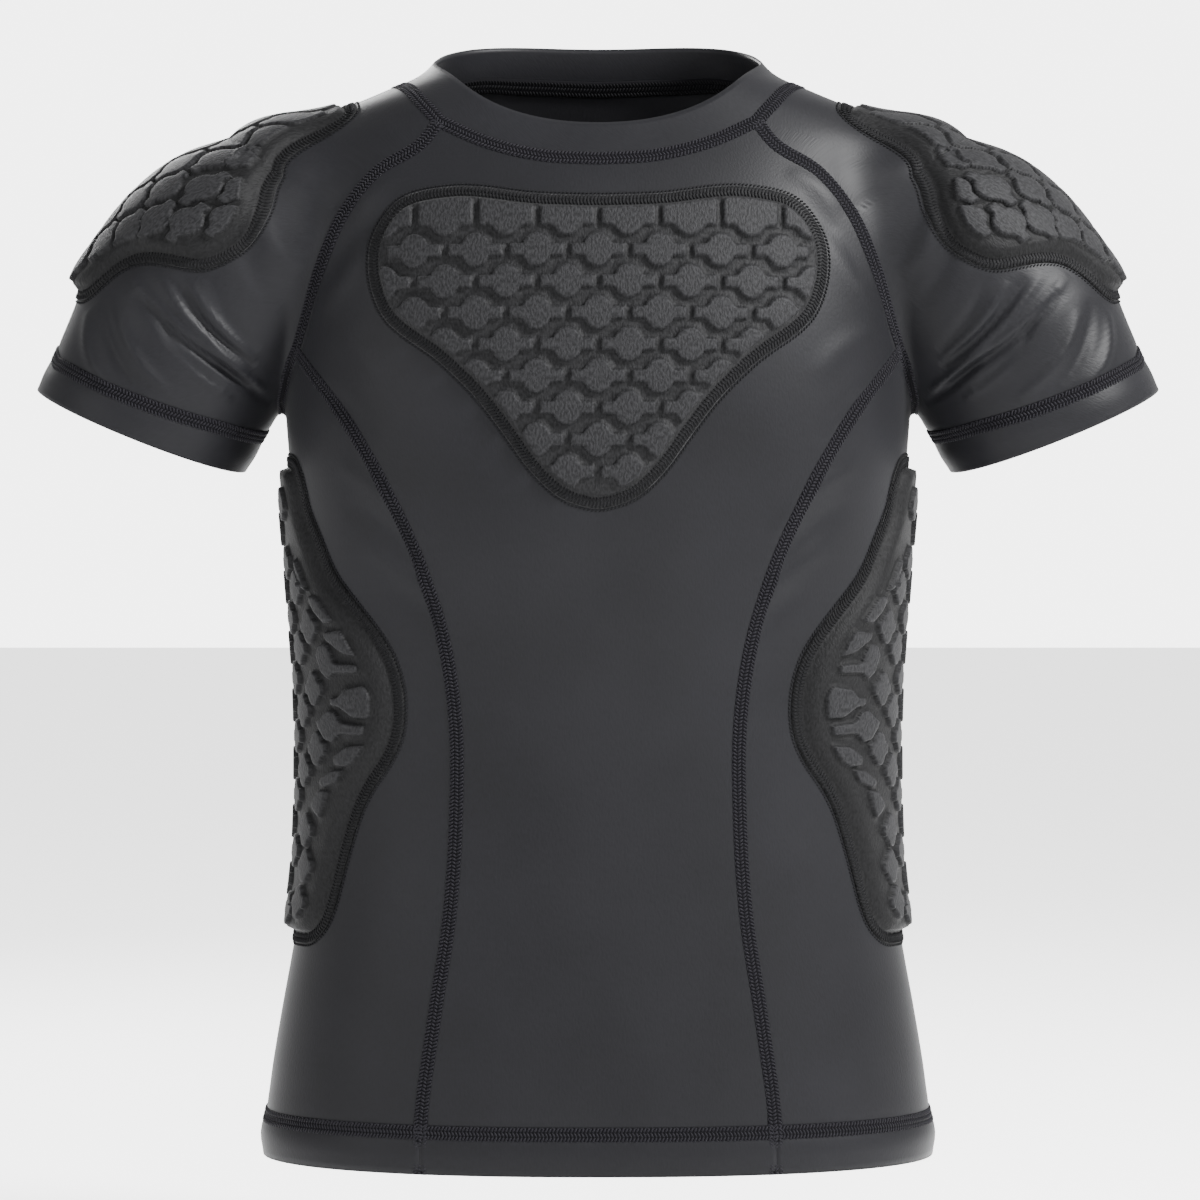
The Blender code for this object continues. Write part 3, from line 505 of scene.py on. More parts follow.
def sleeve_top(steps):
    """The sleeve's armhole and neck edges as one ring, and the angle round the cuff for each point."""
    parts = [
        (raglan_seam(-1, 7 * steps)[::-1], -CUFF_ANGLE_RAGLAN, -CUFF_ANGLE_UNDERARM),
        (underarm_seam(8 * steps), -CUFF_ANGLE_UNDERARM, CUFF_ANGLE_UNDERARM),
        (raglan_seam(1, 7 * steps), CUFF_ANGLE_UNDERARM, CUFF_ANGLE_RAGLAN),
        (neck_side(5 * steps)[::-1], CUFF_ANGLE_RAGLAN, 360 - CUFF_ANGLE_RAGLAN),
    ]
    ring = np.concatenate([seam[:-1] for seam, _, _ in parts])
    angles = np.concatenate([np.linspace(a, b, len(seam))[:-1] for seam, a, b in parts])
    return ring, np.radians(angles)


def sleeve_panel():
    """From the cuff to the armhole and neck, as closed rings that start at the front of the neck."""
    top, angles = sleeve_top(1)
    cuff = cuff_ring(angles)
    share = np.linspace(0, 1, SLEEVE_ROWS + 1)[:, None, None]
    grid = cuff + (top - cuff) * share
    for _ in range(SLEEVE_EASING):
        round_it = np.roll(grid, 1, axis=1) + np.roll(grid, -1, axis=1)
        grid[1:-1] = on_form((grid[:-2] + grid[2:] + round_it[1:-1]) / 4, rounds=2)
    grid = finer(grid, SLEEVE_FINER)
    grid = finer(grid.transpose(1, 0, 2), SLEEVE_FINER, closed=True).transpose(1, 0, 2)
    top, angles = sleeve_top(SLEEVE_FINER)
    rows = len(grid)
    near_top = np.clip(1 - (rows - 1 - np.arange(rows)) / (2 * SLEEVE_FINER), 0, 1)[:, None, None]
    near_cuff = near_top[::-1]
    grid = grid + (top - grid[-1]) * near_top + (cuff_ring(angles) - grid[0]) * near_cuff
    grid = on_form(grid, rounds=4)
    grid[-1] = top
    return grid


def collar_panel():
    """A band that stands on the whole neck seam, as closed rings from the seam up."""
    tangent = np.roll(neck, -1, axis=0) - np.roll(neck, 1, axis=0)
    up = unit(rounded(unit(np.cross(normals_on_form(neck), tangent)), 80))
    rows = [neck]
    for step in range(1, COLLAR_STEPS + 1):
        row = walk(neck, up, np.full(len(neck), COLLAR_HEIGHT * step / COLLAR_STEPS))
        rows.append(on_form(rounded(row, 14 * step), rounds=2))
    return np.array(rows)


front_grid = body_panel(-1)
back_grid = body_panel(1)
side_grid = side_panel()
sleeve_grid = sleeve_panel()
collar_grid = collar_panel()
print("sleeve grid:", sleeve_grid.shape[:2])

# %% [markdown]
# ## Creases
# Tight knit has few folds: soft pulls that fan from the shoulder pads down to the underarm, and faint ones
# beside the seams. Each crease is a soft ridge, or a trough when its height is below zero. It follows a
# bowed line on the form and dies away at both ends. Real creases are uneven, so each has its own length,
# width and height.

# %% Crease tables, in millimetres
# Face (-1 in front, 1 behind), start and end in the front view, bow sideways, width and height.
SLEEVE_CREASES = (
    (-1, (231, -90), (171, -140), 4, 1.9, 2.33),
    (-1, (226, -98), (169, -145), 4, 2.5, -3.41),
    (-1, (217, -90), (169, -138), 4, 1.8, 2.33),
    (-1, (208, -92), (168, -136), 4, 2.3, -2.63),
    (-1, (200, -94), (167, -133), 3, 1.8, 1.86),
    (-1, (190, -92), (166, -128), 3, 2.6, -1.24),
    (-1, (251, -106), (237, -148), 6, 3.0, 1.86),
    (-1, (243, -102), (221, -151), 5, 3.2, -1.71),
    (-1, (236, -108), (204, -153), 5, 2.6, 1.86),
    (-1, (214, -113), (184, -147), 3, 2.2, -2.33),
    (-1, (209, -121), (179, -152), 3, 2.2, 1.71),
    (-1, (191, -124), (163, -147), 1, 1.9, 2.17),
    (-1, (187, -133), (162, -153), 1, 2.1, -2.33),
    (-1, (164, -58), (148, -92), 4, 4.5, 1.40),
    (-1, (173, -68), (156, -106), 4, 5.0, -1.40),
    (1, (228, -92), (172, -137), 5, 2.6, 2.33),
    (1, (219, -96), (168, -141), 5, 3.2, -2.94),
    (1, (205, -90), (165, -132), 4, 2.4, 1.86),
    (1, (242, -108), (216, -150), 6, 3.4, -1.71),
    (1, (234, -104), (204, -148), 5, 2.8, 1.55),
    (1, (192, -122), (164, -147), 2, 2.4, -2.02),
)
BODY_CREASES = (
    (-1, (82, -222), (126, -184), 4, 4.0, 1.25),
    (-1, (86, -240), (122, -202), 4, 4.6, -1.38),
    (-1, (80, -252), (112, -224), 4, 4.4, 1.00),
    (-1, (76, -268), (104, -243), 3, 5.0, -1.00),
    (-1, (98, -56), (130, -98), 4, 5.4, -1.12),
    (-1, (114, -70), (140, -114), -4, 4.6, 1.12),
    (-1, (92, -42), (118, -62), 3, 4.4, 1.00),
    (-1, (108, -176), (140, -146), 4, 5.0, -1.25),
    (-1, (104, -146), (134, -120), 4, 5.4, 0.88),
    (1, (80, -236), (128, -194), 4, 5.5, 1.50),
    (1, (84, -254), (124, -216), 4, 5.5, -1.62),
    (1, (100, -60), (134, -108), 5, 6.0, -1.38),
    (1, (90, -46), (124, -88), 4, 5.5, 1.12),
    (1, (-64, -328), (-4, -342), 6, 8.0, 1.38),
    (1, (-56, -352), (14, -358), 5, 8.0, -1.12),
    (1, (2, -316), (66, -334), -6, 8.0, 1.00),
    (1, (62, -426), (84, -380), 4, 7.0, 1.12),
)
CREASE_POINTS = 34

# %% Laying creases on the form


def bowed_line(start, end, bow):
    """Flat points on a bowed line."""
    share = np.linspace(0, 1, CREASE_POINTS)[:, None]
    start, end = np.array(start, float), np.array(end, float)
    across = np.array([start[1] - end[1], end[0] - start[0]]) / math.dist(start, end)
    return start + (end - start) * share + across * bow * np.sin(math.pi * share)


def shoulder_place(flat):
    """Reach round from the top line and distance along the arm, in millimetres, put on the form."""
    along = ARM_START + flat[:, 1:2] * MM * ARM_AXIS
    return go_round(come_in(along, ARM_OUTWARD), ARM_AXIS, -flat[:, 0] * MM)


def crease_lines():
    lines = []
    for face, start, end, bow, width, height in (*SLEEVE_CREASES, *BODY_CREASES):
        x, z = bowed_line(start, end, bow).T * MM
        line = seen_from(face, x, z)
        lines.append((line, width, height))
        lines.append((mirrored(line), width * 1.1, height * 0.9))
    return lines


creases = crease_lines()
FADE = np.sin(np.linspace(0, math.pi, CREASE_POINTS)) ** 0.7


def crease_height(points):
    """How far the creases lift points of the form, in metres."""
    p = points.reshape(-1, 3)
    total = np.zeros(len(p))
    for line, width, height in creases:
        reach = 4 * width * MM
        near = ((p > line.min(0) - reach) & (p < line.max(0) + reach)).all(1)
        if near.any():
            away = np.linalg.norm(p[near][:, None] - line, axis=2)
            nearest = away.argmin(1)
            total[near] += height * FADE[nearest] * np.exp(-((away.min(1) / (width * MM)) ** 2))
    return total.reshape(points.shape[:-1]) * MM


def laid(points, height=0.0):
    """Points of the form moved out along its normals, by a height over the creased cloth."""
    lift = crease_height(points) + height
    return points + normals_on_form(points) * lift[..., None]


print("creases:", len(creases))

# %% [markdown]
# ## Materials
# Stretch knit is made of very fine shiny yarn, so it is dark, evenly rough and gives a soft sheen where it
# turns away. Its wales run up each panel, so the pattern reads the panel's own UV map in metres. The pads
# are covered with a drier brushed knit, and the sewing thread is a dull blue black.

# %% Material helpers


def new_material(name, colour, roughness, sheen, specular=0.5):
    made = bpy.data.materials.new(name)
    made.use_nodes = True
    shader = made.node_tree.nodes["Principled BSDF"]
    shader.inputs["Base Color"].default_value = (*colour, 1)
    shader.inputs["Roughness"].default_value = roughness
    shader.inputs["Sheen Weight"].default_value = sheen
    shader.inputs["Sheen Roughness"].default_value = 0.45
    shader.inputs["Specular IOR Level"].default_value = specular
    return made


def add_node(material, kind, **values):
    node = material.node_tree.nodes.new(kind)
    for key, value in values.items():
        if key in node.inputs:
            node.inputs[key].default_value = value
        else:
            setattr(node, key, value)
    return node


def join(material, start, end):
    material.node_tree.links.new(start, end)


def knit_bump(material, pitch, strength, distance):
    """The grain of a fine knit from the UV map, longer along the wales than across, as a bump."""
    shader = material.node_tree.nodes["Principled BSDF"]
    place = add_node(material, "ShaderNodeTexCoord")
    scale = add_node(material, "ShaderNodeMapping", Scale=(1 / pitch, 0.45 / pitch, 1 / pitch))
    join(material, place.outputs["UV"], scale.inputs["Vector"])
    fuzz = add_node(material, "ShaderNodeTexNoise", Scale=1.0, Detail=3)
    join(material, scale.outputs["Vector"], fuzz.inputs["Vector"])
    bump = add_node(material, "ShaderNodeBump", Strength=strength, Distance=distance)
    join(material, fuzz.outputs["Fac"], bump.inputs["Height"])
    join(material, bump.outputs["Normal"], shader.inputs["Normal"])
    return fuzz


def colour_ramp(material, source, *stops):
    """The colour read from a socket between two stops, each a place and a colour."""
    ramp = add_node(material, "ShaderNodeValToRGB")
    for element, (position, colour) in zip(ramp.color_ramp.elements, stops):
        element.position = position
        element.color = (*colour, 1)
    join(material, source, ramp.inputs["Fac"])
    return ramp.outputs["Color"]


def mottle(material, fine, dark, light):
    """Colour between two shades by a soft wide noise and the knit's fine one."""
    shader = material.node_tree.nodes["Principled BSDF"]
    place = add_node(material, "ShaderNodeTexCoord")
    wide = add_node(material, "ShaderNodeTexNoise", Scale=14, Detail=4)
    join(material, place.outputs["Object"], wide.inputs["Vector"])
    mixed = add_node(material, "ShaderNodeMath", operation="MULTIPLY_ADD")
    mixed.inputs[1].default_value = 0.5
    join(material, fine.outputs["Fac"], mixed.inputs[0])
    half = add_node(material, "ShaderNodeMath", operation="MULTIPLY")
    half.inputs[1].default_value = 0.5
    join(material, wide.outputs["Fac"], half.inputs[0])
    join(material, half.outputs[0], mixed.inputs[2])
    colour = colour_ramp(material, mixed.outputs[0], (0.35, dark), (0.65, light))
    join(material, colour, shader.inputs["Base Color"])


# %% The shirt's finishes
KNIT_PITCH = 0.0011


def knit_finish(name, colour, dark, light):
    made = new_material(name, colour, 0.46, 0.02, 0.070)
    mottle(made, knit_bump(made, KNIT_PITCH, 0.30, 0.0003), dark, light)
    return made


cloth_look = knit_finish(
    "stretch_knit", (0.0044, 0.0044, 0.0052), (0.0034, 0.0034, 0.0040), (0.0054, 0.0054, 0.0064)
)
collar_look = knit_finish(
    "collar_knit", (0.0048, 0.0048, 0.0056), (0.0038, 0.0038, 0.0045), (0.0060, 0.0060, 0.0070)
)
thread_look = new_material("sewing_thread", (0.0046, 0.0043, 0.0058), 0.55, 0.02, 0.065)
tape_look = new_material("seam_loops", (0.0016, 0.0015, 0.0020), 0.75, 0.01, 0.03)
overlock_look = new_material("overlock_thread", (0.0030, 0.0030, 0.0034), 0.60, 0.01, 0.05)


def pad_finish(name, painted_groove_shade):
    """A brushed knit whose grain shows, with painted shade in the grooves: its colour is darker there than on
    the cells' tops.
    """
    made = new_material(name, (0.0066, 0.0066, 0.0072), 0.60, 0.03, 0.075)
    fine = knit_bump(made, 0.0009, 0.80, 0.0005)
    stops = ((0.40, (0.0036, 0.0036, 0.0040)), (0.60, (0.0098, 0.0098, 0.0106)))
    colour = colour_ramp(made, fine.outputs["Fac"], *stops)
    # painted shade: a point attribute scales the base colour down towards the ground between the cells
    painted_light_share = add_node(made, "ShaderNodeAttribute", attribute_name="painted_light_share")
    share = add_node(made, "ShaderNodeMapRange", **{"To Min": painted_groove_shade})
    join(made, painted_light_share.outputs["Fac"], share.inputs["Value"])
    painted_shade_scale = add_node(made, "ShaderNodeVectorMath", operation="SCALE")
    join(made, colour, painted_shade_scale.inputs[0])
    join(made, share.outputs["Result"], painted_shade_scale.inputs["Scale"])
    join(made, painted_shade_scale.outputs["Vector"], made.node_tree.nodes["Principled BSDF"].inputs["Base Color"])
    return made


# the second value is the share of the colour left in the grooves by the painted shade
chest_look = pad_finish("chest_pad_knit", 0.62)
pad_look = pad_finish("brushed_pad_knit", 0.36)
print("materials:", len(bpy.data.materials))

# %% [markdown]
# ## Cloth pieces
# Each piece starts as a flat grid made by Blender. Its points are then moved onto the form, row by row, and
# the map from flat to worn gives the UV lengths for the knit. A Solidify modifier gives the cloth its
# thickness inwards, so the outer face stays where it was put.

# %% Cloth from a grid
CLOTH_THICKNESS = 0.0010


def lengths_along(grid, axis):
    steps = np.linalg.norm(np.diff(grid, axis=axis), axis=2)
    start = np.zeros_like(np.take(steps, [0], axis=axis))
    return np.concatenate([start, np.cumsum(steps, axis=axis)], axis=axis)


def finish_mesh(name, bm, look):
    mesh = bpy.data.meshes.new(name)
    bm.to_mesh(mesh)
    bm.free()
    mesh.shade_smooth()
    mesh.materials.append(look)
    return new_object(name, mesh)


def grid_mesh(grid, closed):
    """A bmesh grid laid on the given points, with their lengths as UVs."""
    if closed:
        grid = np.concatenate([grid, grid[:, :1]], axis=1)
    rows, columns = grid.shape[:2]
    bm = bmesh.new()
    bmesh.ops.create_grid(bm, x_segments=columns - 1, y_segments=rows - 1, size=1)
    across, up = lengths_along(grid, 1), lengths_along(grid, 0)
    layer = bm.loops.layers.uv.new("knit")
    places = {}
    for vertex in bm.verts:
        column = round((vertex.co.x + 1) / 2 * (columns - 1))
        row = round((vertex.co.y + 1) / 2 * (rows - 1))
        places[vertex] = (row, column)
    for vertex, (row, column) in places.items():
        vertex.co = grid[row, column]
    for face in bm.faces:
        for loop in face.loops:
            row, column = places[loop.vert]
            loop[layer].uv = (across[row, column] - across[row, -1] / 2, up[row, column])
    if closed:
        bmesh.ops.remove_doubles(bm, verts=bm.verts, dist=1e-6)
    bm.normal_update()
    middle = list(bm.faces)[len(bm.faces) // 2]
    outward = normals_on_form(np.array([middle.calc_center_median()]))[0]
    if middle.normal @ Vector(outward) < 0:
        bmesh.ops.reverse_faces(bm, faces=bm.faces)
    return bm


def cloth_piece(node, grid, closed, look, thickness=CLOTH_THICKNESS, hem=()):
    """A thin shell of cloth that stands for a solid, with its flat size and area printed."""
    outer = laid(grid, hem_lift(grid, hem))
    made = finish_mesh(node + "_cloth", grid_mesh(outer, closed), look)
    wall = made.modifiers.new("thickness", "SOLIDIFY")
    wall.thickness = thickness
    wall.offset = -1
    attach(made, BODY)
    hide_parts(node)
    ring = np.concatenate([outer, outer[:, :1]], axis=1) if closed else outer
    width = lengths_along(ring, 1)[:, -1].max()
    length = lengths_along(ring, 0)[-1].max()
    area = sum(face.area for face in made.data.polygons)
    flat_size = (round(float(width), 3), round(float(length), 3))
    area = min(round(float(area), 4), flat_size[0] * flat_size[1])
    print(node, "flat size, m:", flat_size, "area, m2:", area)


def hem_lift(grid, hem):
    """A turned edge is double: its fold stands out a little, and the cover stitch draws it in above."""
    up = lengths_along(grid, 0)
    lift = np.zeros(up.shape)
    for middle, width, height in hem:
        lift += height * np.exp(-(((up - middle) / width) ** 2))
    return lift


# distance above the edge, width and height of the lift, in metres
TURNED_HEM = ((0.009, 0.007, 0.0007), (0.0215, 0.0030, -0.0006))

cloth_piece("front_panel", front_grid, False, cloth_look, hem=TURNED_HEM)
cloth_piece("back_panel", back_grid, False, cloth_look, hem=TURNED_HEM)
for side, turn in (("right", np.array), ("left", mirrored)):
    cloth_piece(f"side_panel_{side}", turn(side_grid), False, cloth_look, hem=TURNED_HEM)
    cloth_piece(f"sleeve_{side}", turn(sleeve_grid), True, cloth_look, hem=TURNED_HEM)
cloth_piece("collar_band", collar_grid, True, collar_look, thickness=0.0018)

# %% [markdown]
# ## Seams in relief
# A flat seam is a band of looped thread over two butted edges. A low ribbon gives the band its body, and
# hundreds of small thread grains lie on it in slanted rows. One grain is an icosphere of twenty faces,
# stretched, turned and copied along a rail, because that costs little and catches the light like thread.

# %% Rails, ribbons and grains
bm = bmesh.new()
bmesh.ops.create_icosphere(bm, subdivisions=1, radius=1)
GRAIN = np.array([vertex.co for vertex in bm.verts])
GRAIN_FACES = np.array([[vertex.index for vertex in face.verts] for face in bm.faces])
bm.free()


def frames_along(rail, closed):
    """Directions along, across and out of the form at each point of a rail."""
    if closed:
        along = np.roll(rail, -1, axis=0) - np.roll(rail, 1, axis=0)
    else:
        along = np.gradient(rail, axis=0)
    out = normals_on_form(rail)
    across = unit(np.cross(out, along))
    return np.cross(across, out), across, out


def beside(rail, closed, offset):
    """A rail moved sideways over the form."""
    _, across, _ = frames_along(rail, closed)
    return on_form(rail + across * offset, rounds=3)


def spaced(rail, closed, pitch):
    """Evenly spaced points along a rail."""
    path = np.concatenate([rail, rail[:1]]) if closed else rail
    length = lengths_to(path)[-1]
    count = max(2, round(length / pitch))
    return points_at(path, (np.arange(count) + 0.5) * length / count)


def grains_on(rail, closed, pitch, slant, size, lift):
    """Thread grains along a rail: their points. Slant is in degrees from the rail, turn about."""
    centres = spaced(rail, closed, pitch)
    along, across, out = frames_along(centres, closed)
    angle = np.radians(np.broadcast_to(slant, len(centres)))[:, None]
    first = along * np.cos(angle) + across * np.sin(angle)
    second = np.cross(out, first)
    length, width, height = size
    middles = centres + out * (crease_height(centres) + lift)[:, None]
    shape = GRAIN[None] * np.array([length, width, height]) / 2
    return middles[:, None] + shape @ np.stack([first, second, out], axis=1)


def ribbon_on(rails, lifts, underside):
    """The rings of a low ribbon over the rails: its top at the lifts, its bottom just under the cloth."""
    tops = [laid(rail, lift) for rail, lift in zip(rails, lifts)]
    bottoms = [laid(rails[-1], underside), laid(rails[0], underside)]
    return np.array([*tops, *bottoms])


def sewn_piece(name, grains, ribbons, look, base=None):
    """One mesh of many thread grains, with the ribbons under them."""
    points = [np.concatenate(grains).reshape(-1, 3)]
    count = sum(len(part) for part in grains)
    grain_faces = (GRAIN_FACES[None] + np.arange(count)[:, None, None] * len(GRAIN)).reshape(-1, 3).tolist()
    faces, looks, start = grain_faces, [0] * len(grain_faces), count * len(GRAIN)
    for rings, closed in ribbons:
        ring_count, length = rings.shape[:2]
        points.append(rings.reshape(-1, 3))
        for r in range(ring_count):
            this = start + r * length
            other = start + (r + 1) % ring_count * length
            for c in range(length if closed else length - 1):
                d = (c + 1) % length
                faces.append([this + c, this + d, other + d, other + c])
                looks.append(1)
        if not closed:
            for c in (0, length - 1):
                faces.append([start + r * length + c for r in range(ring_count)])
                looks.append(1)
        start += ring_count * length
    mesh = bpy.data.meshes.new(name)
    mesh.from_pydata(np.concatenate(points).tolist(), [], faces)
    mesh.materials.append(look)
    mesh.materials.append(base or look)
    mesh.polygons.foreach_set("material_index", looks)
    bm = bmesh.new()
    bm.from_mesh(mesh)
    bmesh.ops.recalc_face_normals(bm, faces=bm.faces)
    bm.to_mesh(mesh)
    bm.free()
    mesh.shade_smooth()
    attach(new_object(name, mesh), BODY)
    print(name, "faces:", len(faces))


# %% Flat seams
SEAM_HALF = 0.0036
SEAM_PITCH = 0.0028
RIBBON_STEP = 0.003
RIBBON_UNDERSIDE = -0.0004
# place across the band from -1 to 1, and the ribbon's height there in millimetres
RIBBON_PROFILE = (
    (-1.0, -0.05), (-0.86, 0.12), (-0.4, 0.26), (0.0, 0.22), (0.4, 0.26), (0.86, 0.12), (1.0, -0.05),
)
# place across the band, slant in degrees, pitch, size and lift of the grains of each row
LADDER = (SEAM_PITCH * 0.62, (SEAM_HALF * 0.80, 0.0011, 0.0006), 0.00030)
NEEDLE_ROW = (SEAM_PITCH, (0.0018, 0.0006, 0.0006), 0.00018)
SEAM_ROWS = ((-0.62, 58, *LADDER), (0.0, -58, *LADDER), (0.62, 58, *LADDER), (-0.9, 0, *NEEDLE_ROW),
             (0.9, 0, *NEEDLE_ROW))


def flat_seam(rail, closed):
    """Grains and ribbon of a flat seam along a rail."""
    fine = spaced(rail, closed, RIBBON_STEP)
    if not closed:
        fine = np.concatenate([rail[:1], fine, rail[-1:]])
    offsets, lifts = table_columns(RIBBON_PROFILE)
    rails = [beside(fine, closed, offset) for offset in SEAM_HALF * offsets]
    grains = []
    for share, slant, pitch, size, lift in SEAM_ROWS:
        line = beside(fine, closed, SEAM_HALF * share)
        grains.append(grains_on(line, closed, pitch, slant, size, lift))
    return grains, (ribbon_on(rails, lifts * MM, RIBBON_UNDERSIDE), closed)


def sew(name, rails, closed=False, both_sides=False):
    """Sews along rails, and with both_sides also along their mirror images."""
    grains, ribbons = [], []
    for rail in rails:
        seam_grains, ribbon = flat_seam(rail, closed)
        grains += seam_grains
        ribbons.append(ribbon)
    for side, turn in (("_right", np.array), ("_left", mirrored)) if both_sides else (("", np.array),):
        turned = [(turn(rings), round_it) for rings, round_it in ribbons]
        sewn_piece(name + side, [turn(part) for part in grains], turned, thread_look, tape_look)


sew("princess_seams", [princess[-1], princess[1]], both_sides=True)
sew("raglan_seams", [raglan[-1], raglan[1]], both_sides=True)
sew("underarm_seam", [underarm], both_sides=True)
sew("neck_seam", [neck], closed=True)

# %% [markdown]
# ## Turned hems
# The hem and both cuffs are folded in and held by a cover stitch: two needle rows with a ladder of looper
# thread between them, about 20 mm above the edge.

# %% Cover stitches
COVER_HEIGHT = 0.0200


def at_height(grid, height):
    """The points of a grid's columns at a length above its first row."""
    up = lengths_along(grid, 0)
    columns = []
    for c in range(grid.shape[1]):
        columns.append([np.interp(height, up[:, c], grid[:, c, k]) for k in range(3)])
    return np.array(columns)


hem_line = np.concatenate([
    at_height(front_grid, COVER_HEIGHT)[:-1],
    at_height(side_grid, COVER_HEIGHT)[:-1],
    at_height(back_grid, COVER_HEIGHT)[::-1][:-1],
    mirrored(at_height(side_grid, COVER_HEIGHT))[::-1][:-1],
])
sew("hem_cover_stitch", [on_form(hem_line, rounds=3)], closed=True)
cuff_line = at_height(sleeve_grid, COVER_HEIGHT)
sew("cuff_cover_stitch", [on_form(cuff_line, rounds=3)], closed=True, both_sides=True)

# %% [markdown]
# ## Pads
# A moulded pad is foam under knit, pressed into cells with grooves between them. It is easiest to draw
# flat, in millimetres: an outline, and cells cut off by its border. The height of each point is read from
# its distance to the nearest edge, and then the whole flat pad is laid on the form, with its heights along
# the form's normals.

# %% Pad outlines and cells, in millimetres
CHEST_OUTLINE = (
    (0.0, -55.5), (28.6, -54.5), (72.5, -50.5), (97.0, -56.5), (109.5, -74.5), (111.0, -91.0),
    (105.0, -111.5), (75.0, -137.0), (57.5, -154.5), (43.5, -173.0), (31.5, -189.5), (17.5, -202.0),
    (0.0, -207.5),
)
RIB_OUTLINE = (
    (0.0, -179.0), (25.0, -179.0), (36.0, -181.5), (42.0, -190.0), (46.0, -205.0), (54.0, -219.0),
    (63.0, -237.0), (74.0, -250.0), (84.0, -262.0), (92.0, -275.0), (96.0, -290.0), (96.5, -303.0),
    (94.0, -317.0), (87.0, -330.0), (78.0, -341.0), (71.0, -353.0), (66.0, -367.0), (62.0, -382.0),
    (59.0, -398.0), (55.0, -410.0), (46.0, -417.5), (30.0, -419.0), (0.0, -419.0),
)
SHOULDER_OUTLINE = (
    (0.0, -50.0), (25.0, -50.0), (37.0, -46.0), (41.0, -36.0), (45.0, -27.0), (52.0, -14.0),
    (58.0, -2.0), (66.0, 7.0), (78.0, 17.0), (86.0, 27.0), (90.0, 38.0), (88.0, 50.0),
    (82.0, 60.0), (70.0, 65.5), (56.0, 71.0), (46.0, 78.0), (41.0, 87.0), (36.0, 97.0),
    (27.0, 104.5), (12.0, 106.0), (0.0, 106.0),
)
CHEST_ROWS = 9
CHEST_FIRST_ROW = -68.4
CHEST_ROW_PITCH = 15.05
CHEST_CELL_PITCH = 29.0
RIB_CELLS = (
    (45.0, -262.5), (44.5, -293.0), (45.5, -322.5),
    (35.0, -243.5), (33.0, -273.0), (33.0, -304.0), (33.0, -333.5),
    (36.0, -363.0), (38.0, -381.0), (35.0, -399.0),
    (23.5, -202.0), (23.5, -231.0), (22.5, -258.0), (22.0, -288.0), (22.0, -317.0), (22.0, -346.0),
    (22.0, -374.0), (21.0, -403.0),
    (8.0, -214.0), (8.0, -243.0), (8.0, -273.0), (8.0, -302.0), (8.0, -331.0), (8.0, -360.0), (8.0, -389.0),
)
RIB_CUT_CELLS = (
    ((36, -228), (37, -235), (41, -243), (48, -246), (40, -232)),
    ((47, -247), (51, -255), (58, -261), (64, -260), (54, -248)),
    ((56, -265), (58, -269), (67, -275), (75, -277), (68, -264)),
    ((49, -276), (52, -285), (57, -288.5), (61, -285), (75, -285), (75, -281), (62, -280),
     (58, -270.5), (52, -271)),
    ((57, -297), (57, -301), (63, -302), (71, -307), (80, -307), (81, -296), (78, -291),
     (66, -293), (62, -297)),
    ((46, -309), (47, -312), (52, -318), (58, -319.5), (62, -315), (76, -315.5), (77, -310.5), (63, -309),
     (60, -304), (55, -303), (51, -306)),
    ((58, -326), (59, -330.5), (66, -331), (75, -326), (77, -320), (66, -321)),
    ((48, -338), (50, -342), (60, -339), (64, -332), (56, -333)),
    ((41, -350), (44, -354), (49, -357), (54, -343), (47, -343)),
)
SHOULDER_CELLS = (
    (0.0, -25.0), (0.0, 0.0), (0.0, 25.0), (0.0, 50.0), (0.0, 75.0),
    (12.8, -37.0), (12.8, -12.5), (12.8, 12.5), (12.8, 37.5), (12.8, 62.5), (12.8, 88.0),
    (25.5, -24.5), (25.5, 0.5), (25.0, 25.5), (24.5, 50.5), (25.5, 75.0),
    (38.0, -12.0), (38.0, 13.0), (36.5, 38.0), (37.0, 63.5),
    (46.5, 2.0), (52.0, 28.0), (47.5, 52.5),
    (64.0, 17.0), (61.0, 45.5), (73.5, 33.5),
)
SHOULDER_FULLNESS = ((-50.0, 0.42), (-30.0, 0.60), (0.0, 0.90), (15.0, 1.00), (110.0, 1.00))

# %% Flat loops


def counterclockwise(loop):
    following = np.roll(loop, -1, axis=0)
    twice_area = (loop[:, 0] * following[:, 1] - loop[:, 1] * following[:, 0]).sum()
    return loop if twice_area > 0 else loop[::-1]


def inward(loop):
    """Directions into a counterclockwise loop at its points."""
    along = unit(np.roll(loop, -1, axis=0) - np.roll(loop, 1, axis=0))
    return np.stack([-along[:, 1], along[:, 0]], axis=1)


def even_loop(loop, step):
    """A closed loop with evenly spaced points."""
    path = np.concatenate([loop, loop[:1]])
    length = lengths_to(path)[-1]
    count = max(8, round(length / step))
    return points_at(path, np.arange(count) / count * length)


def full_outline(half, step):
    """A closed outline from its half, with evenly spaced points."""
    half = np.array(half, float)
    length = np.linalg.norm(np.diff(half, axis=0), axis=1).sum()
    side = smooth_path(half, round(length / step))
    loop = np.concatenate([side, side[1:-1][::-1] * np.array([-1.0, 1.0])])
    return counterclockwise(rounded(loop, 6))


def inside(loop, points):
    """Which points lie inside a loop, their distance from its edges, and the number of the nearest."""
    x, y = points[:, 0:1], points[:, 1:2]
    x0, y0 = loop.T
    x1, y1 = np.roll(loop, -1, axis=0).T
    crosses = (y0 > y) != (y1 > y)
    beyond = x < x0 + (x1 - x0) * (y - y0) / np.where(y1 == y0, TINY, y1 - y0)
    share = ((x - x0) * (x1 - x0) + (y - y0) * (y1 - y0)) / ((x1 - x0) ** 2 + (y1 - y0) ** 2)
    share = np.clip(share, 0, 1)
    away = np.hypot(x - x0 - share * (x1 - x0), y - y0 - share * (y1 - y0))
    return (crosses & beyond).sum(1) % 2 == 1, away.min(axis=1), away.argmin(axis=1)


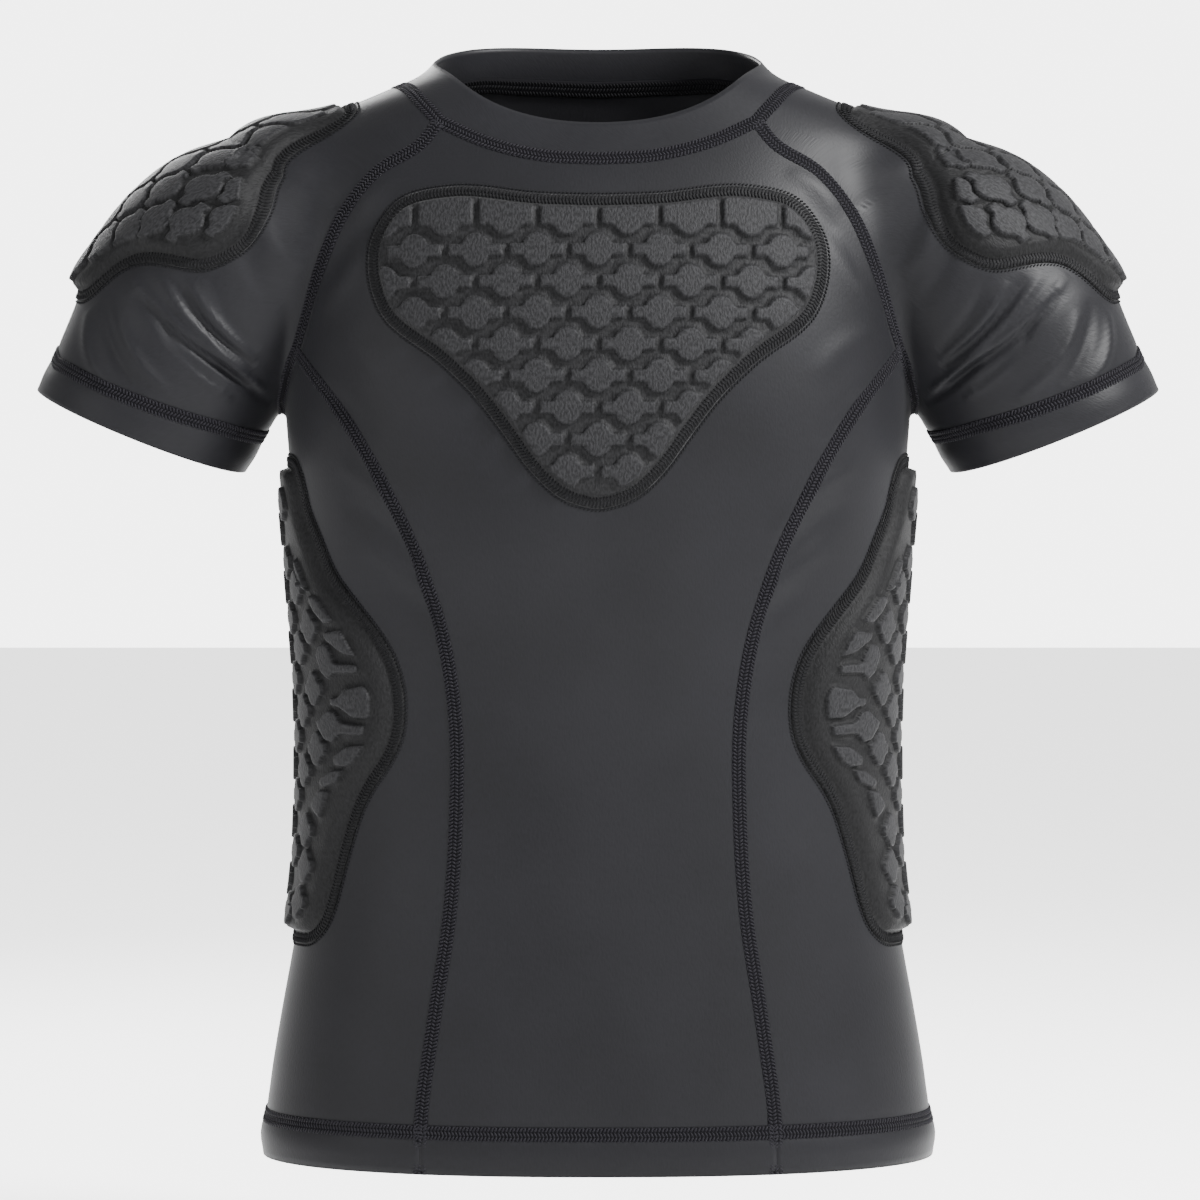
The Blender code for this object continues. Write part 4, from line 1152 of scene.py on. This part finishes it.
def star_loop(body, arms, step=1.1, rounds=2):
    """A round body with arms: each arm is its half length, half height and angle in degrees."""
    angles = np.linspace(0, 2 * math.pi, 360, endpoint=False)
    reach = 1 / np.hypot(np.cos(angles) / body[0], np.sin(angles) / body[1])
    for length, half, turn in arms:
        a = (angles - math.radians(turn) + math.pi) % (2 * math.pi) - math.pi
        ahead = np.minimum(length / np.maximum(np.cos(a), 1e-3), half / np.maximum(np.abs(np.sin(a)), 1e-3))
        reach = np.maximum(reach, np.where(np.abs(a) < 1.5, ahead, 0))
    loop = np.stack([np.cos(angles), np.sin(angles)], axis=1) * reach[:, None]
    return rounded(even_loop(loop, step), rounds)


# %% Cells of each pad
CELL_STEP = 0.9
CELL_SMALLEST = 0.10
CELL_REACH = 20
BEYOND = 99.0
CHEST_CELL = star_loop((7.2, 8.4), ((13.0, 3.1, 0), (13.0, 3.1, 180)), step=0.8, rounds=1)
RIB_CELL = star_loop((5.2, 8.8), ((7.4, 3.3, 0), (7.4, 3.3, 180)), step=0.9, rounds=1)
SHOULDER_CELL = star_loop((8.0, 7.9), ((12.0, 2.9, 90), (12.0, 2.9, -90)), step=0.9, rounds=1)
TOP_CELL = np.array([(-13.1, 12.0), (-13.1, -3.3), (-7.0, -3.3), (-5.7, -6.0), (-2.9, -8.0), (0.0, -8.5),
                     (2.9, -8.0), (5.7, -6.0), (7.0, -3.3), (13.1, -3.3), (13.1, 12.0)])


def both_halves(cells):
    """Cells of the half pad with their mirror images, those on the middle line once."""
    other = [cell * np.array([-1.0, 1.0]) for cell in cells if abs(cell[:, 0].mean()) > 0.5]
    return [counterclockwise(cell) for cell in [*cells, *other]]


def chest_cells():
    cells = []
    for row in range(CHEST_ROWS):
        height = CHEST_FIRST_ROW - CHEST_ROW_PITCH * row
        shift = 0.5 if row % 2 == 0 else 0.0
        shape = CHEST_CELL if row else rounded(even_loop(TOP_CELL, 1.1), 2)
        for place in range(-5, 5):
            cells.append(counterclockwise(shape + ((place + shift) * CHEST_CELL_PITCH, height)))
    return cells


def rib_cells():
    whole = [RIB_CELL + middle for middle in RIB_CELLS]
    cut = [rounded(even_loop(np.array(cell, float), 1.1), 1) for cell in RIB_CUT_CELLS]
    return both_halves([*whole, *cut])


def shoulder_cells():
    return both_halves([SHOULDER_CELL + middle for middle in SHOULDER_CELLS])


def cut_to(loop, border):
    """The part of a cell inside the border, as the edge seen all round from a point in that part."""
    low, high = loop.min(0), loop.max(0)
    spots = np.stack(np.meshgrid(np.linspace(low[0], high[0], 24), np.linspace(low[1], high[1], 24)), -1)
    spots = spots.reshape(-1, 2)
    in_cell = inside(loop, spots)[0]
    kept = spots[in_cell & inside(border, spots)[0]]
    if len(kept) < CELL_SMALLEST * in_cell.sum():
        return None
    centre = kept.mean(0)
    if len(kept) == in_cell.sum():
        return loop
    angles = np.linspace(0, 2 * math.pi, 220, endpoint=False)
    rays = np.stack([np.cos(angles), np.sin(angles)], axis=1)
    reach = np.full(len(rays), BEYOND)
    for edge in (loop, border):
        edge = edge - centre
        ahead = np.roll(edge, -1, axis=0) - edge
        turn = rays[:, 0:1] * ahead[:, 1] - rays[:, 1:2] * ahead[:, 0]
        turn = np.where(np.abs(turn) < TINY, TINY, turn)
        far = (edge[:, 0] * ahead[:, 1] - edge[:, 1] * ahead[:, 0]) / turn
        share = (edge[:, 0] * rays[:, 1:2] - edge[:, 1] * rays[:, 0:1]) / turn
        far = np.where((far > 0) & (share >= 0) & (share <= 1), far, BEYOND)
        reach = np.minimum(reach, far.min(axis=1))
    return counterclockwise(rounded(even_loop(centre + rays * reach[:, None], CELL_STEP), 1))


# %% Pad heights
BAND = 5.6
PAD_FOOT = 0.15
# distance in from the outline and height of the sewn band, in millimetres
BAND_PROFILE = ((0.0, PAD_FOOT), (0.5, 0.70), (2.8, 0.95), (5.0, 0.85), (5.6, 0.80))
# share of the flank, share of its height
FLANK_PROFILE = ((0.0, 0.0), (0.12, 0.22), (0.35, 0.62), (0.62, 0.90), (0.82, 0.98), (1.0, 1.0))
# distance in from a cell's edge, and its rise over the ground, in millimetres
CELL_PROFILE = ((0.0, 0.0), (0.15, 1.15), (0.36, 1.90), (0.75, 2.18), (1.40, 2.24), (6.0, 2.28))
CELL_ROWS = (0.15, 0.36, 0.75, 1.40)
FLANK_ROWS = (0.12, 0.35, 0.62, 0.82, 1.0)
BAND_ROWS = (0.5, 1.6, 2.8, 4.2, 5.2, 5.8)
# distances between points in millimetres: over the ground, along rows at the rim, over a cell, along its rows
GROUND_PITCH = 3.4
RIM_PITCH = 2.4
CELL_PITCH = 2.2
CELL_ROW_PITCH = 1.4


def pad_height(points, outline, flank, ground):
    """Height of a pad's ground at flat points: a sewn band, then a rounded flank."""
    _, away, nearest = inside(outline, points)
    direction = np.abs(inward(outline)[nearest, 0])
    width = flank[0] + flank[1] * direction
    band_in, band_up = table_columns(BAND_PROFILE)
    flank_in, flank_up = table_columns(FLANK_PROFILE)
    band = np.interp(away, band_in, band_up)
    up = np.interp((away - BAND) / width, flank_in, flank_up)
    return band + (ground - band_up[-1]) * up


def inset_rows(loop, distances, step):
    """Points in rows at distances inside a loop, without those of rows that cross."""
    rows = []
    for distance in distances:
        row = even_loop(loop + inward(loop) * distance, step)
        within, away, _ = inside(loop, row)
        rows.append(row[within & (away > distance * 0.85)])
    return np.concatenate(rows)


def spread(low, high, pitch):
    """Points all over a rectangle, in rows shifted by half a pitch."""
    x, y = np.meshgrid(np.arange(low[0], high[0], pitch), np.arange(low[1], high[1], pitch * 0.87))
    x = x + (np.arange(len(x)) % 2)[:, None] * pitch / 2
    return np.stack([x, y], axis=-1).reshape(-1, 2)


def flat_pad(outline, flank, ground, cells):
    """The flat pad: its points and triangles, the height at each point, the painted shade share at each
    point, and which are the outline.
    """
    reach = BAND + flank[0] + flank[1]
    ins = [*BAND_ROWS, *[BAND + (reach - BAND) * share for share in FLANK_ROWS]]
    width = flank[0] + flank[1] * np.abs(inward(outline)[:, 0:1])
    border = even_loop(rounded(even_loop(outline + inward(outline) * (BAND + width), 1.5), 3), 1.0)
    feet = [foot for foot in (cut_to(cell, border) for cell in cells) if foot is not None]
    loose = spread(outline.min(0), outline.max(0), GROUND_PITCH)
    within, away, _ = inside(outline, loose)
    loose = np.concatenate([inset_rows(outline, ins, RIM_PITCH), loose[within & (away > reach + 1.0)]])
    inner = []
    for foot in feet:
        close = np.linalg.norm(loose - foot.mean(0), axis=1) < CELL_REACH
        within, away, _ = inside(foot, loose[close])
        keep = np.ones(len(loose), bool)
        keep[close] = ~within & (away > 0.8)
        loose = loose[keep]
        fill = spread(foot.min(0), foot.max(0), CELL_PITCH)
        within, away, _ = inside(foot, fill)
        rows = inset_rows(foot, CELL_ROWS, CELL_ROW_PITCH)
        inner.append(np.concatenate([rows, fill[within & (away > CELL_PITCH)]]))
    loops = [outline, *feet]
    ends = np.cumsum([0, *[len(loop) for loop in loops]])
    edges = []
    for first, last in zip(ends[:-1], ends[1:]):
        edges += [(i, i + 1 if i + 1 < last else first) for i in range(first, last)]
    points = [Vector(point) for point in np.concatenate([*loops, loose, *inner])]
    places, _, triangles, sources, _, _ = delaunay_2d_cdt(points, edges, [], 1, 1e-4)
    flat = np.array([tuple(place) for place in places])
    number = {i: v for v, source in enumerate(sources) for i in source}
    height = pad_height(flat, outline, flank, ground)
    rise_in, rise_up = table_columns(CELL_PROFILE)
    # painted shade share: 1 on the cells' tops, 0 over the ground, so the material darkens the grooves
    shade = np.zeros(len(flat))
    for foot in feet:
        close = np.flatnonzero(np.linalg.norm(flat - foot.mean(0), axis=1) < CELL_REACH)
        within, away, _ = inside(foot, flat[close])
        rise = np.interp(away, rise_in, rise_up) * (within & (away > 0.02))
        height[close] += rise
        shade[close] = np.maximum(shade[close], rise / rise_up[-1])
    return flat, triangles, height, shade, [number[i] for i in range(len(outline))], len(feet)


print("cells in the chest pad's rows:", len(chest_cells()))

# %% Laying a pad on the form


def chest_place(flat):
    return seen_from(-1, flat[:, 0] * MM, flat[:, 1] * MM)


def rib_place(flat):
    height = flat[:, 1] * MM
    side = np.stack([smooth_read(TORSO_HEIGHTS, TORSO_WIDTHS, height), 0 * height, height], axis=1)
    return go_round(on_form(side, axis=UP), UP, -flat[:, 0] * MM)


def pad_pieces(nodes, half, place, flank, ground, cells, look, fullness=((-999, 1), (999, 1))):
    """Builds a pad once, and places it for each node: the right one as drawn and the left one mirrored."""
    outline = full_outline(half, 2.2)
    flat, triangles, height, shade, rim, cell_count = flat_pad(outline, flank, ground, cells)
    height = PAD_FOOT + (height - PAD_FOOT) * np.interp(flat[:, 1], *table_columns(fullness))
    under = spread(outline.min(0), outline.max(0), 8.0)
    within, away, _ = inside(outline, under)
    under = under[within & (away > 4)]
    base = [Vector(point) for point in np.concatenate([outline, under])]
    edges = [(i - 1 if i else len(outline) - 1, i) for i in range(len(outline))]
    _, _, base_triangles, base_sources, _, _ = delaunay_2d_cdt(base, edges, [], 1, 1e-4)
    bm = bmesh.new()
    # the painted shade share is stored on the points, for the pad's material to darken the grooves
    painted_light_share = bm.verts.layers.float.new("painted_light_share")
    tops = [bm.verts.new((*point, 0)) for point in flat]
    for vertex, value in zip(tops, shade):
        vertex[painted_light_share] = value
    for triangle in triangles:
        bm.faces.new([tops[i] for i in triangle])
    corners = [*[tops[i] for i in rim], *[bm.verts.new((*point, -1)) for point in under]]
    for triangle in base_triangles:
        bm.faces.new([corners[base_sources[i][0]] for i in triangle][::-1])
    lift = np.concatenate([height, np.full(len(under), 0.02)]) * MM
    worn = laid(place(np.concatenate([flat, under])), lift)
    layer = bm.loops.layers.uv.new("knit")
    for face in bm.faces:
        for loop in face.loops:
            loop[layer].uv = (loop.vert.co.x * MM, loop.vert.co.y * MM)
    bm.verts.ensure_lookup_table()
    for vertex, point in zip(bm.verts, worn):
        vertex.co = point
    bm.normal_update()
    for node, turn in nodes:
        copy = bm.copy()
        if turn is mirrored:
            bmesh.ops.scale(copy, vec=(-1, 1, 1), verts=copy.verts)
            bmesh.ops.reverse_faces(copy, faces=copy.faces)
        bmesh.ops.recalc_face_normals(copy, faces=copy.faces)
        made = finish_mesh(node + "_cover", copy, look)
        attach(made, BODY)
        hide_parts(node)
        print(node, "faces:", len(made.data.polygons), "cells:", cell_count)
    bm.free()
    overlock(nodes, outline, place, flank, ground, fullness)


def overlock(nodes, outline, place, flank, ground, fullness):
    """Thread over the pad's sewn edge: slanted rungs across the band and a chain just outside it."""
    rows = []
    for distance, pitch, slant, size in (
        (1.9, 1.7, 68, (4.3, 1.05, 0.95)),
        (4.1, 1.7, 104, (3.6, 1.0, 0.9)),
        (-0.9, 1.9, 35, (2.0, 0.9, 0.8)),
    ):
        loop = even_loop(outline + inward(outline) * distance, 2.0)
        lift = pad_height(loop, outline, flank, ground) if distance > 0 else np.full(len(loop), 0.15)
        lift = lift * np.interp(loop[:, 1], *table_columns(fullness))
        height = (lift.mean() + 0.12) * MM
        rows.append(grains_on(place(loop), True, pitch * MM, slant, np.array(size) * MM, height))
    for node, turn in nodes:
        sewn_piece(node + "_overlock", [turn(row) for row in rows], [], overlock_look)


pad_pieces([("chest_pad", np.array)], CHEST_OUTLINE, chest_place, (1.6, 0.0), 2.8, chest_cells(), chest_look)
pad_pieces(
    [("rib_pad_right", np.array), ("rib_pad_left", mirrored)],
    RIB_OUTLINE, rib_place, (1.6, 8.0), 5.6, rib_cells(), pad_look,
)
pad_pieces(
    [("shoulder_pad_right", np.array), ("shoulder_pad_left", mirrored)],
    SHOULDER_OUTLINE, shoulder_place, (1.6, 5.5), 5.6, shoulder_cells(), pad_look, SHOULDER_FULLNESS,
)

# %% [markdown]
# ## Inside the neck
# Through the neck shows the inside of the back. The neck seam is covered there by a wide black band of
# looped thread, as on most sports shirts, so that it doesn't rub.

# %% Neck tape
TAPE_HEIGHT = 0.0087
TAPE_OVER_SEAM = 0.0040
TAPE_OUTER_FACE = -0.0019
TAPE_INNER_FACE = -0.0025
TAPE_GRAIN_LIFT = -0.0026


def tape_rail(share):
    """The neck seam moved over the form, from the tape's top edge (0) to its lower one (1)."""
    _, across, _ = frames_along(neck, True)
    sign = 1.0 if across[0, 2] > 0 else -1.0
    return on_form(neck + across * sign * (TAPE_OVER_SEAM - share * TAPE_HEIGHT), rounds=3)


tape_rails = [tape_rail(share) for share in (0.0, 0.15, 0.5, 0.85, 1.0)]
tape_rings = [laid(rail, TAPE_OUTER_FACE) for rail in tape_rails]
tape_rings += [laid(rail, TAPE_INNER_FACE) for rail in tape_rails[1:-1][::-1]]
tape_grains = []
for share, slant in ((0.2, 60), (0.5, -60), (0.8, 60)):
    size = (0.0030, 0.0008, 0.0007)
    tape_grains.append(grains_on(tape_rail(share), True, 0.0017, slant, size, TAPE_GRAIN_LIFT))
sewn_piece("neck_tape", tape_grains, [(np.array(tape_rings), True)], overlock_look, tape_look)

# %% [markdown]
# ## Floor and light
# The photograph has a bare white ground and a key lamp high on the right, which throws the shade of each cell
# to its lower left. A weak lamp on the left and one above the viewer fill the shade, a lamp behind picks out
# the shoulders, and the world is white to the camera alone.

# %% Stage and lamps
FLOOR_HEIGHT = -0.62
bm = bmesh.new()
bmesh.ops.create_grid(bm, x_segments=4, y_segments=4, size=30)
bmesh.ops.translate(bm, verts=bm.verts, vec=(0, 0, FLOOR_HEIGHT))
floor_look = new_material("pale_floor", (0.92, 0.92, 0.92), 0.9, 0.0, 0.1)
floor_shader = floor_look.node_tree.nodes["Principled BSDF"]
floor_shader.inputs["Emission Color"].default_value = (1, 1, 1, 1)
floor_shader.inputs["Emission Strength"].default_value = 1.5
floor = finish_mesh("floor", bm, floor_look)

world = bpy.data.worlds.new("studio")
world.use_nodes = True
world_light = world.node_tree.nodes["Background"]
world_light.inputs["Color"].default_value = (1, 1, 1, 1)
camera_ray = world.node_tree.nodes.new("ShaderNodeLightPath")
brightness = world.node_tree.nodes.new("ShaderNodeMapRange")
brightness.inputs["To Min"].default_value = 1.1
brightness.inputs["To Max"].default_value = 5.0
world.node_tree.links.new(camera_ray.outputs["Is Camera Ray"], brightness.inputs["Value"])
world.node_tree.links.new(brightness.outputs["Result"], world_light.inputs["Strength"])
bpy.context.scene.world = world


def lamp(name, place, aim, size, power):
    """A square lamp of a size in metres and a power in watts, turned to a point."""
    data = bpy.data.lights.new(name, "AREA")
    data.size = size
    data.energy = power
    made = new_object(name, data)
    made.location = place
    direction = Vector(aim) - Vector(place)
    made.rotation_euler = direction.to_track_quat("-Z", "Y").to_euler()


lamp("key", (1.7, -1.1, 1.3), (0, 0, -0.2), 0.5, 300)
lamp("fill", (-1.7, -1.4, 0.3), (0, 0, -0.25), 1.0, 26)
lamp("front", (0.2, -2.2, 0.9), (0, 0, -0.1), 1.0, 40)
lamp("rim", (-0.8, 1.5, 0.8), (0, 0, -0.2), 0.8, 40)
